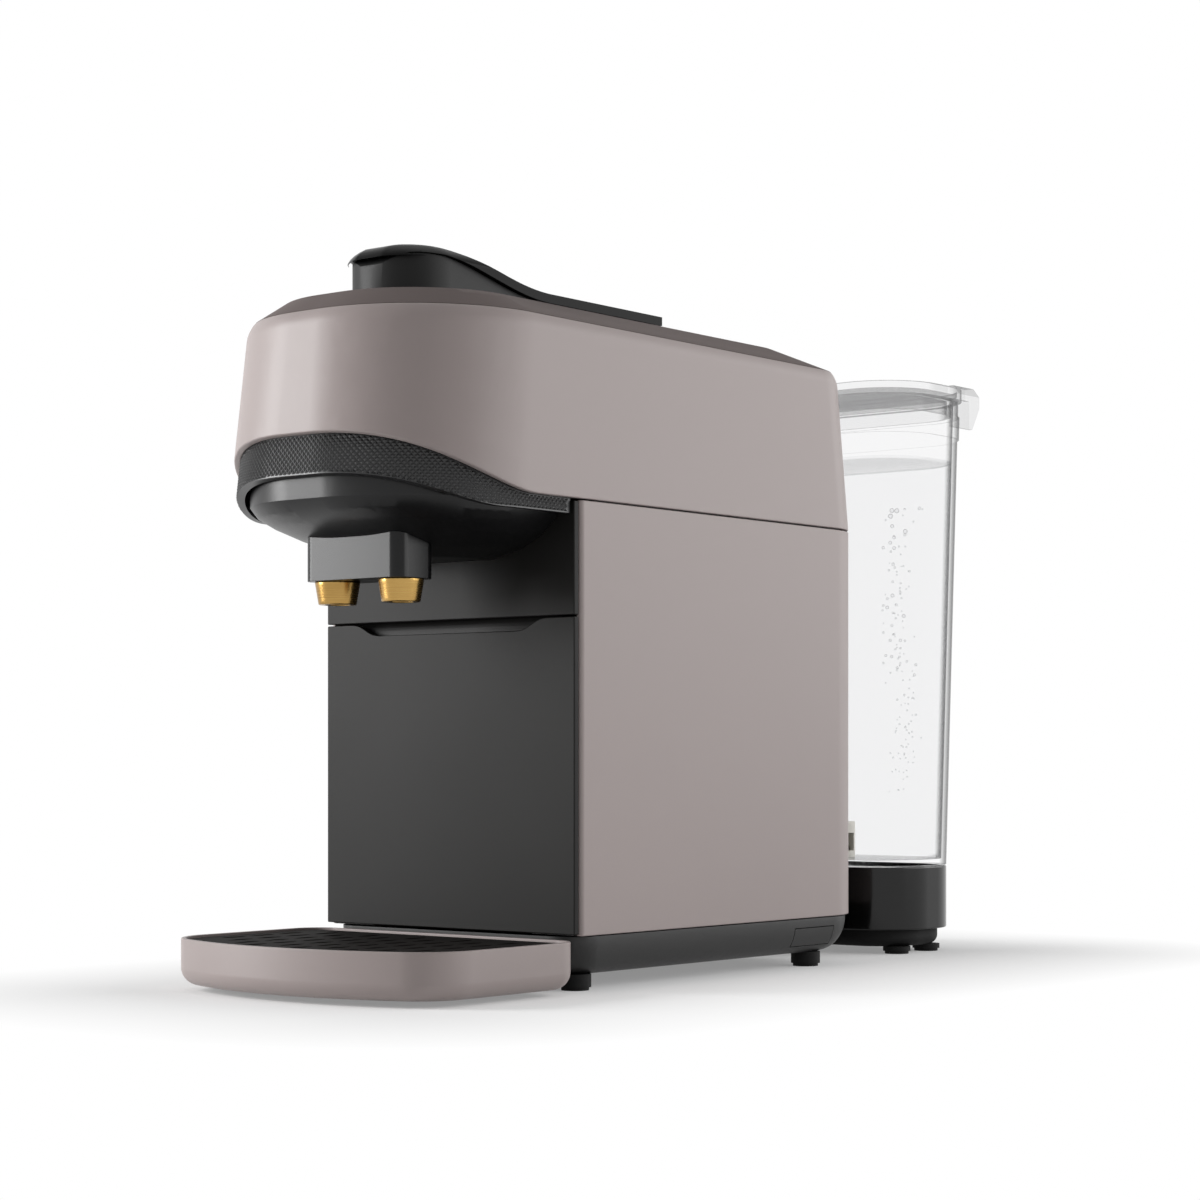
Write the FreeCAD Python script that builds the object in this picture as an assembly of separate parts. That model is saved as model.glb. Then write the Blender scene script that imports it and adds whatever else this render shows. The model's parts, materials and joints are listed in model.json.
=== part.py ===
"""Pod coffee machine with a top lever, a pull-out capsule drawer, a drip tray and a rear water tank.

Millimetres. +Z is up, the cup side faces -Y, and the origin is under the middle of the machine.
"""
import FreeCAD, Part
import math
import os
from FreeCAD import Vector

# Lower body
body_half_width = 63.5
body_depth = 196.0
rear_corner_radius = 26.0
wall = 2.5
seam_z = 180.0
seam_gap = 0.6
front_edge_radius = 2.0

# Base
base_underside_z = 6.0
base_top_z = 20.4
base_floor = 2.5
base_tuck = 8.0
base_reveal = 1.0
foot_radius = 6.0
foot_inset = 7.0
screw_radius = 1.8
screw_head_radius = 3.6
screw_head_height = 2.2

# Head
head_overhang = 83.0
head_front_flat = 8.0
head_shoulder_height = 6.0
head_shoulder_in = 2.0
head_lean_side = 2.0
head_lean_front = 7.5
head_lean_rear = 6.0
bevel_z = 245.6
deck_z = 253.0
deck_inset_side = 14.5
deck_inset_front = 13.0
deck_inset_rear = 24.0
edge_wave_rise = 22.3
edge_wave_start = -20.0
edge_wave_end = -94.0
band_backing_inset = 3.4
band_backing_thickness = 2.0
band_sleeve = 6.0
sleeve_thickness = 1.2
band_drop_side = 5.2
band_wave_rise = 12.3
band_wave_start = -36.0
band_wave_end = -90.0
chin_gap = 0.2
chin_wall = 2.2

# Spout
spout_half_width = 24.5
spout_front = 52.0
spout_depth = 20.0
spout_bottom_z = 150.6
spout_corner = 5.0
nozzle_spacing = 32.0
nozzle_top_radius = 8.4
nozzle_bottom_radius = 7.0
nozzle_height = 8.4
nozzle_bore = 4.6

# Front panels and capsule drawer
panel_thickness = 2.6
panel_reveal = 0.9
panel_gap = 0.6
drawer_bottom_gap = 1.0
drawer_line_z = 137.6
drawer_dip = 4.8
drawer_dip_half_width = 34.0
drawer_dip_bend = 16.0
bin_half_width = 50.0
bin_depth = 88.0
bin_height = 96.0
bin_wall = 2.0
drawer_rail_height = 2.2

# Drip tray
tray_half_width = 68.0
tray_reach = 94.0
tray_rim_z = 19.5
tray_underside_z = 2.2
tray_corner = 24.0
tray_rear_corner = 12.0
tray_bow_radius = 140.0
tray_round = 6.5
tray_rim_wall = 1.8
tray_ledge = 3.0
tray_floor_z = 9.4
tray_floor = 2.0
grid_thickness = 2.8
grid_clearance = 0.4
grid_slot_length = 13.0
grid_slot_width = 3.6
grid_column_pitch = 11.5
grid_row_pitch = 15.0
tongue_half_width = 40.0
tongue_length = 62.0
tongue_thickness = 3.0

# Lever and brew mechanism
lever_half_width = 23.0
lever_front = 43.5
lever_setback = 96.5
lever_axis_rise = 2.8
lever_tail = 4.5
lever_flat_rise = 10.0
lever_crest_rise = 10.5
lever_crest = -33.0
lever_crest_end = 35.0
lever_strip = 3.5
lever_nose_wall = 1.2
lever_nose_lip = 1.5
lever_curl_radius = 9.0
lever_plan_corner = 23.0
lever_dome_height = 6.0
lever_dome_in = 6.0
lever_skirt_inset = 2.0
lever_skirt_wall = 1.8
skirt_roof = 1.2
lever_deck_gap = 1.2
lever_open_deg = 64.0
shaft_radius = 2.0
shaft_clearance = 0.05
hub_radius = 3.4
gear_pitch_radius = 26.0
gear_teeth_per_turn = 36
gear_width = 4.6
gear_x = 16.5
gear_addendum = 1.0
gear_dedendum = 1.4
gear_backlash = 0.5
brew_rise = 31.0
capsule_radius = 15.5
holder_wall = 6.0
holder_length = 31.0
holder_floor = 3.0
holder_front = 14.0
holder_gap = 1.0
carriage_arm = 4.0
carriage_arm_gap = 2.0
chute_wall = 2.0
chute_half_width = 19.5
cage_plate = 3.0

# Buttons on the deck
button_radius = 8.0
button_spacing = 23.0
button_setback = 52.0
button_proud = 1.3
button_clearance = 0.25
button_travel = 1.5

# Water tank and dock
dock_standoff = 32.0
dock_half_width = 54.6
dock_depth = 60.0
tank_corner = 26.0
dock_bottom_z = 10.6
dock_top_z = 38.0
platform_bottom_z = 3.2
tank_wall = 2.2
tank_flare = 4.2
tank_top_z = 243.6
tank_gap = 0.4
lid_thickness = 5.2
lid_overhang = 1.4
lid_plug = 6.4
lid_knuckle_radius = 2.6
lid_pin_radius = 1.2
valve_radius = 9.0
arm_half_width = 15.0
hose_radius = 2.5
hose_clearance = 0.3

tank_rear_flare = tank_flare * 0.8
tank_front_flare = tank_flare * 0.7
overall_depth = tray_reach + body_depth + dock_standoff + dock_depth + tank_rear_flare + lid_overhang
body_front_y = tray_reach - overall_depth / 2.0
body_rear_y = body_front_y + body_depth
head_front_radius = body_half_width - head_front_flat
lever_axis = body_depth - lever_setback
button_row = body_depth - button_setback
shelf_z = seam_z - 5.0
shell_bottom_z = seam_z + seam_gap / 2.0
panel_back_y = body_front_y + panel_thickness
shell_front_y = panel_back_y + 0.4
inner_half = body_half_width - wall
inner_rear_y = body_rear_y - wall
axis_y = body_front_y + lever_axis
axis_z = deck_z + lever_axis_rise
brew_z = shelf_z + brew_rise
pitch_z = axis_z - gear_pitch_radius
dock_front_y = body_rear_y + dock_standoff
dock_mid_y = dock_front_y + dock_depth / 2.0
far = 400.0


def y_at(offset):
    """Y of a place measured back from the front of the body."""
    return body_front_y + offset


def box(x0, x1, y0, y1, z0, z1):
    return Part.makeBox(x1 - x0, y1 - y0, z1 - z0, Vector(x0, y0, z0))


def rod(x, y, z, radius, length, direction):
    return Part.makeCylinder(radius, length, Vector(x, y, z), Vector(*direction))


def fuse(shapes):
    result = shapes[0]
    for shape in shapes[1:]:
        result = result.fuse(shape)
    return result.removeSplitter()


def mirrored(shape):
    """The same piece on the other side of the machine."""
    return shape.mirror(Vector(0, 0, 0), Vector(1, 0, 0))


def line(a, b):
    return Part.LineSegment(Vector(*a), Vector(*b)).toShape()


def corner_arc(x, y, z, radius, from_deg, to_deg):
    mid = (from_deg + to_deg) / 2.0
    points = []
    for degrees in (from_deg, mid, to_deg):
        turn = math.radians(degrees)
        points.append(Vector(x + radius * math.cos(turn), y + radius * math.sin(turn), z))
    return Part.Arc(*points).toShape()


def straight_between(before, after):
    """The straight side from the end of one arc to the start of the next, if there is one."""
    a = before.valueAt(before.LastParameter)
    b = after.valueAt(after.FirstParameter)
    return [Part.LineSegment(a, b).toShape()] if (b - a).Length > 1e-6 else []


def plan(half, front, rear, front_r, rear_r, z):
    """Closed outline seen from above, with its own corner radius at the front and at the rear."""
    front_r = min(front_r, half, (rear - front) / 2.0)
    rear_r = min(rear_r, half, (rear - front) / 2.0)
    corners = [(half - rear_r, rear - rear_r, rear_r, 0), (rear_r - half, rear - rear_r, rear_r, 90),
               (front_r - half, front + front_r, front_r, 180),
               (half - front_r, front + front_r, front_r, 270)]
    edges = []
    for x, y, radius, turn in corners:
        arc = corner_arc(x, y, z, radius, turn, turn + 90)
        if edges:
            edges += straight_between(edges[-1], arc)
        edges.append(arc)
    edges += straight_between(edges[-1], edges[0])
    return Part.Wire(edges)


def prism(wire, height):
    return Part.Face(wire).extrude(Vector(0, 0, height))


def loft(wires, ruled=False):
    return Part.makeLoft(wires, True, ruled)


def side_prism(points, half):
    """A straight-sided outline in the side view, drawn out across the machine."""
    corners = [Vector(-half, y, z) for y, z in points]
    wire = Part.makePolygon(corners + corners[:1])
    return Part.Face(wire).extrude(Vector(2 * half, 0, 0))


def wave(y, start, end, low, rise):
    """Height of a cosine step that climbs by rise between the places start and end."""
    share = min(max((start - y) / (start - end), 0.0), 1.0)
    return low + rise * (1 - math.cos(math.pi * share)) / 2.0


def spline(points):
    curve = Part.BSplineCurve()
    curve.interpolate([Vector(*p) for p in points])
    return curve.toShape()


def below_wave(start, end, low, rise, half):
    """Everything under a cosine step in the side view."""
    count = 12
    places = [start + (end - start) * i / count for i in range(count + 1)]
    curve = [(-half, y_at(y), wave(y, start, end, low, rise)) for y in places]
    back = (-half, body_rear_y + wall, low)
    front = (-half, y_at(end) - far, low + rise)
    depth = low - far
    edges = [line(back, curve[0]), spline(curve), line(curve[-1], front),
             line(front, (-half, front[1], depth)), line((-half, front[1], depth), (-half, back[1], depth)),
             line((-half, back[1], depth), back)]
    return Part.Face(Part.Wire(edges)).extrude(Vector(2 * half, 0, 0))


def edges_at(shape, x, y):
    """Upright straight edges that stand at one place in plan."""
    found = []
    for edge in shape.Edges:
        ends = [v.Point for v in edge.Vertexes]
        if len(ends) == 2 and all(abs(p.x - x) < 1e-4 and abs(p.y - y) < 1e-4 for p in ends):
            found.append(edge)
    return found


def bottom_edges(shape, z):
    return [e for e in shape.Edges if all(abs(v.Z - z) < 1e-4 for v in e.Vertexes)]


def tube(points, radius, bend):
    """A hose along straight runs joined by tangent arcs."""
    corners = [Vector(*p) for p in points]
    edges = []
    start = corners[0]
    for before, here, after in zip(corners, corners[1:], corners[2:]):
        inward = (before - here).normalize()
        outward = (after - here).normalize()
        half_turn = inward.getAngle(outward) / 2.0
        setback = bend / math.tan(half_turn)
        a = here + inward * setback
        b = here + outward * setback
        middle = here + (inward + outward).normalize() * (bend / math.sin(half_turn) - bend)
        edges.append(Part.LineSegment(start, a).toShape())
        edges.append(Part.Arc(a, middle, b).toShape())
        start = b
    edges.append(Part.LineSegment(start, corners[-1]).toShape())
    ring = Part.Wire(Part.makeCircle(radius, corners[0], corners[1] - corners[0]))
    return Part.Wire(edges).makePipeShell([ring], True, False)


def screw(x, y, z, length, direction):
    """A pan-head screw whose head bears at the given point and whose shank runs along direction."""
    way = Vector(*direction)
    head = Part.makeCylinder(screw_head_radius, screw_head_height, Vector(x, y, z), way * -1)
    return head.fuse(Part.makeCylinder(screw_radius, length, Vector(x, y, z), way))


# Base, feet and shells
def base_section(inset, z, extra=0.0):
    inward = inset + extra
    return plan(body_half_width - inward, body_front_y + inward, body_rear_y - inward,
                rear_corner_radius / 2.0 - extra, rear_corner_radius - extra, z)


base_steps = [(base_reveal + base_tuck, 0.0), (base_reveal + base_tuck * 0.4, 0.2),
              (base_reveal + base_tuck * 0.1, 0.55), (base_reveal, 1.0)]
base_height = base_top_z - base_underside_z
base_screw_x = 46.0
base_screw_front = 26.0
base_screw_setback = 74.0
base_screw_places = [(x, y_at(offset)) for x in (-base_screw_x, base_screw_x)
                      for offset in (base_screw_front, body_depth - base_screw_setback)]
port_length = 28.0
port_offset = body_depth - rear_corner_radius - 1.0 - port_length
port_bottom = base_underside_z + base_floor + 0.5
port_top = base_top_z - 3.6
tongue_top_z = base_underside_z + 0.6
boss_radius = screw_head_radius + 2.0


def base_pan():
    shell = loft([base_section(inset, base_underside_z + share * base_height)
                  for inset, share in base_steps])
    floor_z = base_underside_z + base_floor
    hollow = loft([base_section(inset, floor_z + share * (base_height - base_floor), wall)
                   for inset, share in base_steps])
    tongue = box(-tongue_half_width, tongue_half_width, y_at(-tongue_length), y_at(20.0),
                 tongue_top_z - tongue_thickness, tongue_top_z)
    bosses = [rod(x, y, base_underside_z, boss_radius, base_height + 0.6, (0, 0, 1))
              for x, y in base_screw_places]
    pan = fuse([shell.cut(hollow), tongue] + bosses)
    for x, y in base_screw_places:
        pan = pan.cut(rod(x, y, base_underside_z - 1, screw_radius + 0.1, base_height + 3, (0, 0, 1)))
        pan = pan.cut(rod(x, y, base_underside_z - 1, screw_head_radius + 0.2, screw_head_height + 1.4,
                          (0, 0, 1)))
    port = box(body_half_width / 2.0, far, y_at(port_offset), y_at(port_offset + port_length), port_bottom,
               port_top)
    rear_port = box(-arm_half_width - 0.4, arm_half_width + 0.4, body_rear_y - 30, far,
                    base_underside_z + base_floor + 0.1, arm_top_z + 0.3)
    return pan.cut(port).cut(mirrored(port)).cut(rear_port)


def base_port_cover():
    """Blanking plate in the side port, flush with the base and held by an inner flange."""
    gap = 0.3
    height = port_top - port_bottom
    skin = loft([base_section(inset, base_underside_z + share * base_height)
                 for inset, share in base_steps])
    core = loft([base_section(inset, base_underside_z + share * base_height, wall)
                 for inset, share in base_steps])
    window = box(body_half_width / 2.0, far, y_at(port_offset) + gap, y_at(port_offset + port_length) - gap,
                 port_bottom + gap, port_bottom + height - gap)
    return skin.cut(core).common(window)


def feet(places, top_z):
    pads = []
    for x, y in places:
        pad = rod(x, y, 0, foot_radius - 0.8, 1.2,
                  (0, 0, 1)).fuse(rod(x, y, 1.2, foot_radius, top_z - 1.2, (0, 0, 1)))
        pads.append(pad.removeSplitter())
    return Part.makeCompound(pads)


foot_x = body_half_width - base_reveal - base_tuck - foot_inset + 4.0
body_foot_places = [(side * foot_x, y_at(offset)) for side in (-1, 1)
                    for offset in (base_tuck + foot_radius, body_depth - rear_corner_radius - foot_radius)]


def lower_shell():
    outside = prism(plan(body_half_width, body_front_y - far, body_rear_y, wall, rear_corner_radius,
                         base_top_z + 0.4),
                    seam_z - seam_gap / 2.0 - base_top_z - 0.4)
    inside = prism(plan(inner_half, body_front_y - far - wall, inner_rear_y, wall,
                        rear_corner_radius - wall, base_top_z),
                   seam_z)
    wrap = outside.cut(inside).cut(box(-far, far, body_front_y - 2 * far, shell_front_y, -far, far))
    rims = edges_at(wrap, body_half_width, shell_front_y) + edges_at(wrap, -body_half_width, shell_front_y)
    wrap = wrap.makeFillet(min(front_edge_radius, wall * 0.9), rims)
    return wrap.cut(box(-vent_half, vent_half, inner_rear_y - 1, body_rear_y + 1, vent_bottom, vent_top))


vent_half = 33.0
vent_bottom = 40.0
vent_top = 150.0
gland_z = vent_bottom + 14.0
gland_radius = 6.0
vent_slot_count = 9
panel_screw_places = [(x, z) for x in (-vent_half + 6, vent_half - 6)
                      for z in (vent_bottom + 6, vent_top - 6)]


def rear_panel():
    gap = 0.3
    plate = box(-vent_half + gap, vent_half - gap, inner_rear_y, body_rear_y, vent_bottom + gap,
                vent_top - gap)
    flange = box(-vent_half - 3, vent_half + 3, inner_rear_y - 2, inner_rear_y, vent_bottom - 3,
                 vent_top + 3)
    panel = plate.fuse(flange).removeSplitter()
    pitch = (vent_top - gland_z - 24) / vent_slot_count
    for i in range(vent_slot_count):
        z = gland_z + 18 + i * pitch
        panel = panel.cut(box(-vent_half + 12, vent_half - 12, inner_rear_y - 3, body_rear_y + 1, z,
                              z + pitch * 0.45))
    panel = panel.cut(rod(0, inner_rear_y - 3, gland_z, gland_radius, wall + 5, (0, 1, 0)))
    for x, z in panel_screw_places:
        panel = panel.cut(rod(x, inner_rear_y - 3, z, screw_radius + 0.1, wall + 5, (0, 1, 0)))
        panel = panel.cut(rod(x, body_rear_y - screw_head_height, z, screw_head_radius + 0.2, 5, (0, 1, 0)))
    return panel


def cord_gland():
    flange = rod(0, body_rear_y, gland_z, gland_radius + 2.5, 2.5, (0, 1, 0))
    neck = rod(0, inner_rear_y - 2, gland_z, gland_radius - 0.1, wall + 2.2, (0, 1, 0))
    return flange.fuse(neck).removeSplitter().cut(rod(0, inner_rear_y - 3, gland_z, gland_radius - 2.2, 12,
                                                      (0, 1, 0)))


def shoulder_inset(z):
    """How far the wall has rolled in at one height, near the bevel."""
    share = max(z - bevel_z + head_shoulder_height, 0.0) / head_shoulder_height
    return head_shoulder_in * share ** 2


def head_section(z, inset=0.0):
    """Plan of the head at one height; its sides lean in from the seam to the bevel."""
    share = (z - seam_z) / (bevel_z - seam_z)
    inset += shoulder_inset(z)
    half = body_half_width - share * head_lean_side - inset
    front = y_at(-head_overhang) + share * head_lean_front + inset
    rear = body_rear_y - share * head_lean_rear - inset
    return plan(half, front, rear, head_front_radius - inset, rear_corner_radius - inset, z)


def head_tube(outer_inset, inner_inset, z0, z1):
    """Leaning wall of the head between two depths under its outer face."""
    roll = [bevel_z - head_shoulder_height * (4 - i) / 4.0 for i in range(4)]
    between = [z for z in roll if z0 < z < z1]
    outside = loft([head_section(z, outer_inset) for z in [z0] + between + [z1]], True)
    inside = [z0 - 1] + between + [z1 + 1]
    return outside.cut(loft([head_section(z, inner_inset) for z in inside], True))


def upper_shell():
    tube_wall = head_tube(0.0, wall, seam_z - 3, bevel_z)
    return tube_wall.cut(below_wave(edge_wave_start, edge_wave_end, shell_bottom_z, edge_wave_rise, far))


def deck_section(z, inset=0.0):
    half = body_half_width - head_lean_side - deck_inset_side - inset
    front = y_at(-head_overhang) + head_lean_front + deck_inset_front + inset
    rear = body_rear_y - head_lean_rear - deck_inset_rear - inset
    return plan(half, front, rear, head_front_radius - deck_inset_side - inset, rear_corner_radius - inset, z)


gear_slot_half = 9.0
ear_x = 10.0
ear_thickness = 4.0
chute_front = holder_front + holder_gap
chute_length = holder_length
plate_half_width = button_spacing + button_radius + 5.0
plate_half_depth = button_radius + 8.0


def top_cover():
    outside = loft([head_section(bevel_z), deck_section(deck_z)], True)
    inside = loft([head_section(bevel_z - 0.01, wall), deck_section(deck_z - wall, wall * 0.4)], True)
    cover = outside.cut(inside)
    under = deck_z - wall - 1
    over = deck_z + 1
    cover = cover.cut(box(-chute_half_width, chute_half_width, y_at(chute_front),
                          y_at(chute_front + chute_length),
                          under, over))
    slot = box(gear_x - gear_width / 2.0 - 0.6, gear_x + gear_width / 2.0 + 0.6, axis_y - gear_slot_half,
               axis_y + gear_slot_half, under, over)
    ear = box(ear_x - ear_thickness / 2.0 - 0.4, ear_x + ear_thickness / 2.0 + 0.4,
              axis_y - hub_radius - 0.4,
              axis_y + hub_radius + 0.4, under, over)
    window = prism(plan(plate_half_width, y_at(button_row) - plate_half_depth,
                        y_at(button_row) + plate_half_depth,
                        plate_half_depth, plate_half_depth, under), over - under)
    for cut in (slot, mirrored(slot), ear, mirrored(ear), window):
        cover = cover.cut(cut)
    return cover


# Front of the head: knurled band, chin, spout
def band_low_z():
    return seam_z - band_drop_side


def knurled_band():
    low = band_low_z()
    high = seam_z + edge_wave_rise + 2 * band_sleeve
    face = head_tube(band_backing_inset, band_backing_inset + band_backing_thickness, low - 5, high)
    face = face.common(below_wave(edge_wave_start, edge_wave_end, shell_bottom_z - 0.2, edge_wave_rise,
                                  far))
    sleeve_in = wall + 0.1 + sleeve_thickness
    sleeve = head_tube(wall + 0.1, sleeve_in, low - 5, high)
    sleeve = sleeve.common(below_wave(edge_wave_start, edge_wave_end, shell_bottom_z + band_sleeve,
                                      edge_wave_rise, far))
    band = fuse([face, sleeve]).cut(below_wave(band_wave_start, band_wave_end, low, band_wave_rise, far))
    return band.cut(box(-far, far, body_front_y - 0.4, far, -far, far))


# Chin sections from the rim down: in from the body side, reach ahead of the body,
# depth under the seam, half length of the straight front
chin_steps = [(6.2, 75.8, -10.0, 8.0), (6.4, 75.4, 2.0, 8.0), (8.4, 72.4, 5.6, 8.0), (12.0, 66.0, 9.0, 7.0),
              (17.0, 55.0, 13.0, 5.0), (26.0, 41.0, 17.2, 3.0), (40.0, 28.0, 20.5, 2.0)]


def chin_solid(inset, rise):
    """The bowl under the head, shrunk by inset with its underside lifted by rise."""
    wires = []
    for side, reach, under, flat in chin_steps:
        half = body_half_width - side - inset
        wires.append(plan(half, y_at(-reach) + inset, body_front_y + far, half - flat, half,
                          seam_z - under + rise))
    return loft(wires, True)


def chin_bowl():
    bowl = chin_solid(chin_gap, 0.0).cut(chin_solid(chin_gap + chin_wall, chin_wall))
    bowl = bowl.common(below_wave(band_wave_start, band_wave_end, band_low_z() + 3.0, band_wave_rise, far))
    bowl = bowl.cut(box(-2 * far, 2 * far, body_front_y, 3 * far, -far, far))
    for side in (-1, 1):
        bowl = bowl.cut(rod(side * nozzle_spacing / 2.0, nozzle_y, spout_bottom_z, outlet_radius + 0.3, 40,
                            (0, 0, 1)))
    return bowl.removeSplitter()


nozzle_y = y_at(-spout_front + spout_depth / 2.0)
outlet_radius = 3.4
funnel_half_width = nozzle_spacing / 2.0 + outlet_radius - 1.0
funnel_floor_z = seam_z - 8.4
funnel_rim_z = seam_z + 2.0
funnel_wall = 1.6


def spout_block():
    block = prism(plan(spout_half_width, y_at(-spout_front), y_at(-spout_front + spout_depth), spout_corner,
                       spout_corner,
                       spout_bottom_z), seam_z - spout_bottom_z)
    block = block.cut(chin_solid(chin_gap, 0.0))
    for side in (-1, 1):
        block = block.cut(rod(side * nozzle_spacing / 2.0, nozzle_y, spout_bottom_z - 1,
                              outlet_radius + 0.3, 40,
                              (0, 0, 1)))
    return max(block.Solids, key=lambda solid: -solid.CenterOfMass.z)


def nozzle(side):
    x = side * nozzle_spacing / 2.0
    low = spout_bottom_z - nozzle_height
    cone = Part.makeCone(nozzle_bottom_radius, nozzle_top_radius, nozzle_height, Vector(x, nozzle_y, low))
    collar = rod(x, nozzle_y, spout_bottom_z, outlet_radius + 0.2, 3.0, (0, 0, 1))
    bore = rod(x, nozzle_y, low - 1, nozzle_bore, nozzle_height - 1, (0, 0, 1))
    passage = rod(x, nozzle_y, low - 1, outlet_radius - 1.2, 30, (0, 0, 1))
    return cone.fuse(collar).removeSplitter().cut(bore).cut(passage)


def outlet_funnel():
    front = nozzle_y - outlet_radius - funnel_wall - 2
    rear = y_at(holder_front - 3.0)
    trough = box(-funnel_half_width - funnel_wall, funnel_half_width + funnel_wall, front, rear,
                 funnel_floor_z - funnel_wall, funnel_rim_z)
    hollow = box(-funnel_half_width, funnel_half_width, front + funnel_wall, rear - funnel_wall,
                 funnel_floor_z,
                 funnel_rim_z + 1)
    pieces = [trough.cut(hollow)]
    for side in (-1, 1):
        x = side * nozzle_spacing / 2.0
        pieces.append(rod(x, nozzle_y, spout_bottom_z + 3.2, outlet_radius,
                          funnel_floor_z - spout_bottom_z - 3.2, (0, 0, 1)))
    funnel = fuse(pieces)
    for side in (-1, 1):
        x = side * nozzle_spacing / 2.0
        funnel = funnel.cut(rod(x, nozzle_y, spout_bottom_z, outlet_radius - 1.2, 60, (0, 0, 1)))
    return funnel


# Front panels and the capsule drawer
panel_half = body_half_width - panel_reveal


def front_panel_upper():
    panel = box(-panel_half, panel_half, body_front_y, panel_back_y, drawer_line_z + panel_gap / 2.0,
                seam_z - seam_gap)
    notch = funnel_half_width + funnel_wall + 1.0
    panel = panel.cut(box(-notch, notch, body_front_y - 1, panel_back_y + 1,
                          funnel_floor_z - funnel_wall - 1.0, seam_z))
    wide = cage_x + cage_plate + 1.0
    return panel.cut(box(-wide, wide, body_front_y - 1, panel_back_y + 1, shelf_z - 0.6, seam_z))


def drawer_front():
    top = drawer_line_z - panel_gap / 2.0
    low = drawer_line_z - drawer_dip
    bottom = base_top_z + drawer_bottom_gap
    y = body_front_y
    inner = drawer_dip_half_width
    outer = inner + drawer_dip_bend
    half_way = (inner + outer) / 2.0
    edges = [line((-panel_half, y, bottom), (-panel_half, y, top)),
             line((-panel_half, y, top), (-outer, y, top))]
    for a, b, c, d in (((-outer, top), (-half_way, top), (-half_way, low), (-inner, low)),
                       ((inner, low), (half_way, low), (half_way, top), (outer, top))):
        bend = Part.BezierCurve()
        bend.setPoles([Vector(x, y, z) for x, z in (a, b, c, d)])
        edges.append(bend.toShape())
    edges.insert(3, line((-inner, y, low), (inner, y, low)))
    edges += [line((outer, y, top), (panel_half, y, top)),
              line((panel_half, y, top), (panel_half, y, bottom)),
              line((panel_half, y, bottom), (-panel_half, y, bottom))]
    return Part.Face(Part.Wire(edges)).extrude(Vector(0, panel_thickness, 0))


bin_bottom_z = base_top_z + 0.6 + drawer_rail_height + 0.4


def capsule_bin():
    front = panel_back_y
    outside = prism(plan(bin_half_width, front, front + bin_depth, 3.0, 8.0, bin_bottom_z), bin_height)
    inside = prism(plan(bin_half_width - bin_wall, front + bin_wall, front + bin_depth - bin_wall, 2.0, 6.0,
                        bin_bottom_z + bin_wall), bin_height)
    return outside.cut(inside)


# Chassis and brew mechanism
bulkhead_y = panel_back_y + bin_depth + 5.0
shelf_thickness = 3.0
heater_hose_x = -38.0
heater_hose_setback = 56.0
flow_meter_setback = 31.0
heater_hose = (heater_hose_x, body_rear_y - heater_hose_setback)
flow_meter_y = body_rear_y - flow_meter_setback


def chassis():
    shelf = prism(plan(inner_half, panel_back_y + 0.4, inner_rear_y, 2.0, rear_corner_radius - wall,
                       shelf_z - shelf_thickness), shelf_thickness)
    rim_half = inner_half - 0.3
    rim = prism(plan(rim_half, panel_back_y + 10, inner_rear_y - 0.6, 2.0, rear_corner_radius - wall,
                     shelf_z - 1),
                seam_z - shelf_z + 5)
    rim = rim.cut(prism(plan(rim_half - 1.8, panel_back_y, inner_rear_y - 2.4, 2.0,
                             rear_corner_radius - wall - 1.8,
                             shelf_z - 2), seam_z))
    bulkhead = box(-inner_half + 3, inner_half - 3, bulkhead_y, bulkhead_y + 3, base_top_z + 0.6,
                   shelf_z - shelf_thickness)
    floor_rear = inner_rear_y - rear_corner_radius / 2.0
    floor = box(-inner_half + 10, inner_half - 10, bulkhead_y, floor_rear, base_top_z + 0.6,
                base_top_z + 2.8)
    rails = [box(min(x0, x1), max(x0, x1), panel_back_y + 0.4, bulkhead_y + 1, base_top_z + 0.6,
                 base_top_z + 0.6 + drawer_rail_height)
             for x0, x1 in ((bin_half_width - 10, inner_half - 1), (10 - bin_half_width, 1 - inner_half))]
    frame = fuse([shelf, rim, bulkhead, floor] + rails)
    frame = frame.cut(box(-chute_half_width - 4, chute_half_width + 4, panel_back_y - 5,
                          y_at(chute_front + chute_length + 2), shelf_z - 5, shelf_z + 1))
    frame = frame.cut(rod(heater_hose[0], heater_hose[1], shelf_z - 10, hose_radius + 2, 20, (0, 0, 1)))
    frame = frame.cut(rod(0, flow_meter_y, base_top_z - 1, hose_radius + 2, 10, (0, 0, 1)))
    for x, y in base_screw_places:
        frame = frame.cut(rod(x, y, base_top_z, screw_radius + 0.1, 5, (0, 0, 1)))
    for x, y in cage_screw_places:
        frame = frame.cut(rod(x, y, shelf_z - 5, screw_radius + 0.1, 6, (0, 0, 1)))
    return frame


holder_radius = capsule_radius + holder_wall
holder_rear = holder_front + holder_length
injector_face = holder_rear + holder_gap
injector_length = 25.0
injector_radius = capsule_radius + 1.5
arm_inner_x = holder_radius + carriage_arm_gap
cage_x = arm_inner_x + carriage_arm + 2.5
cage_rear = injector_face + injector_length
cage_top_z = pitch_z - gear_dedendum - carriage_arm - 2.4
cage_screw_places = [(side * (cage_x + cage_plate + 5), y_at(offset)) for side in (-1, 1)
                     for offset in (cage_rear - 18, cage_rear - 2)]


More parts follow.
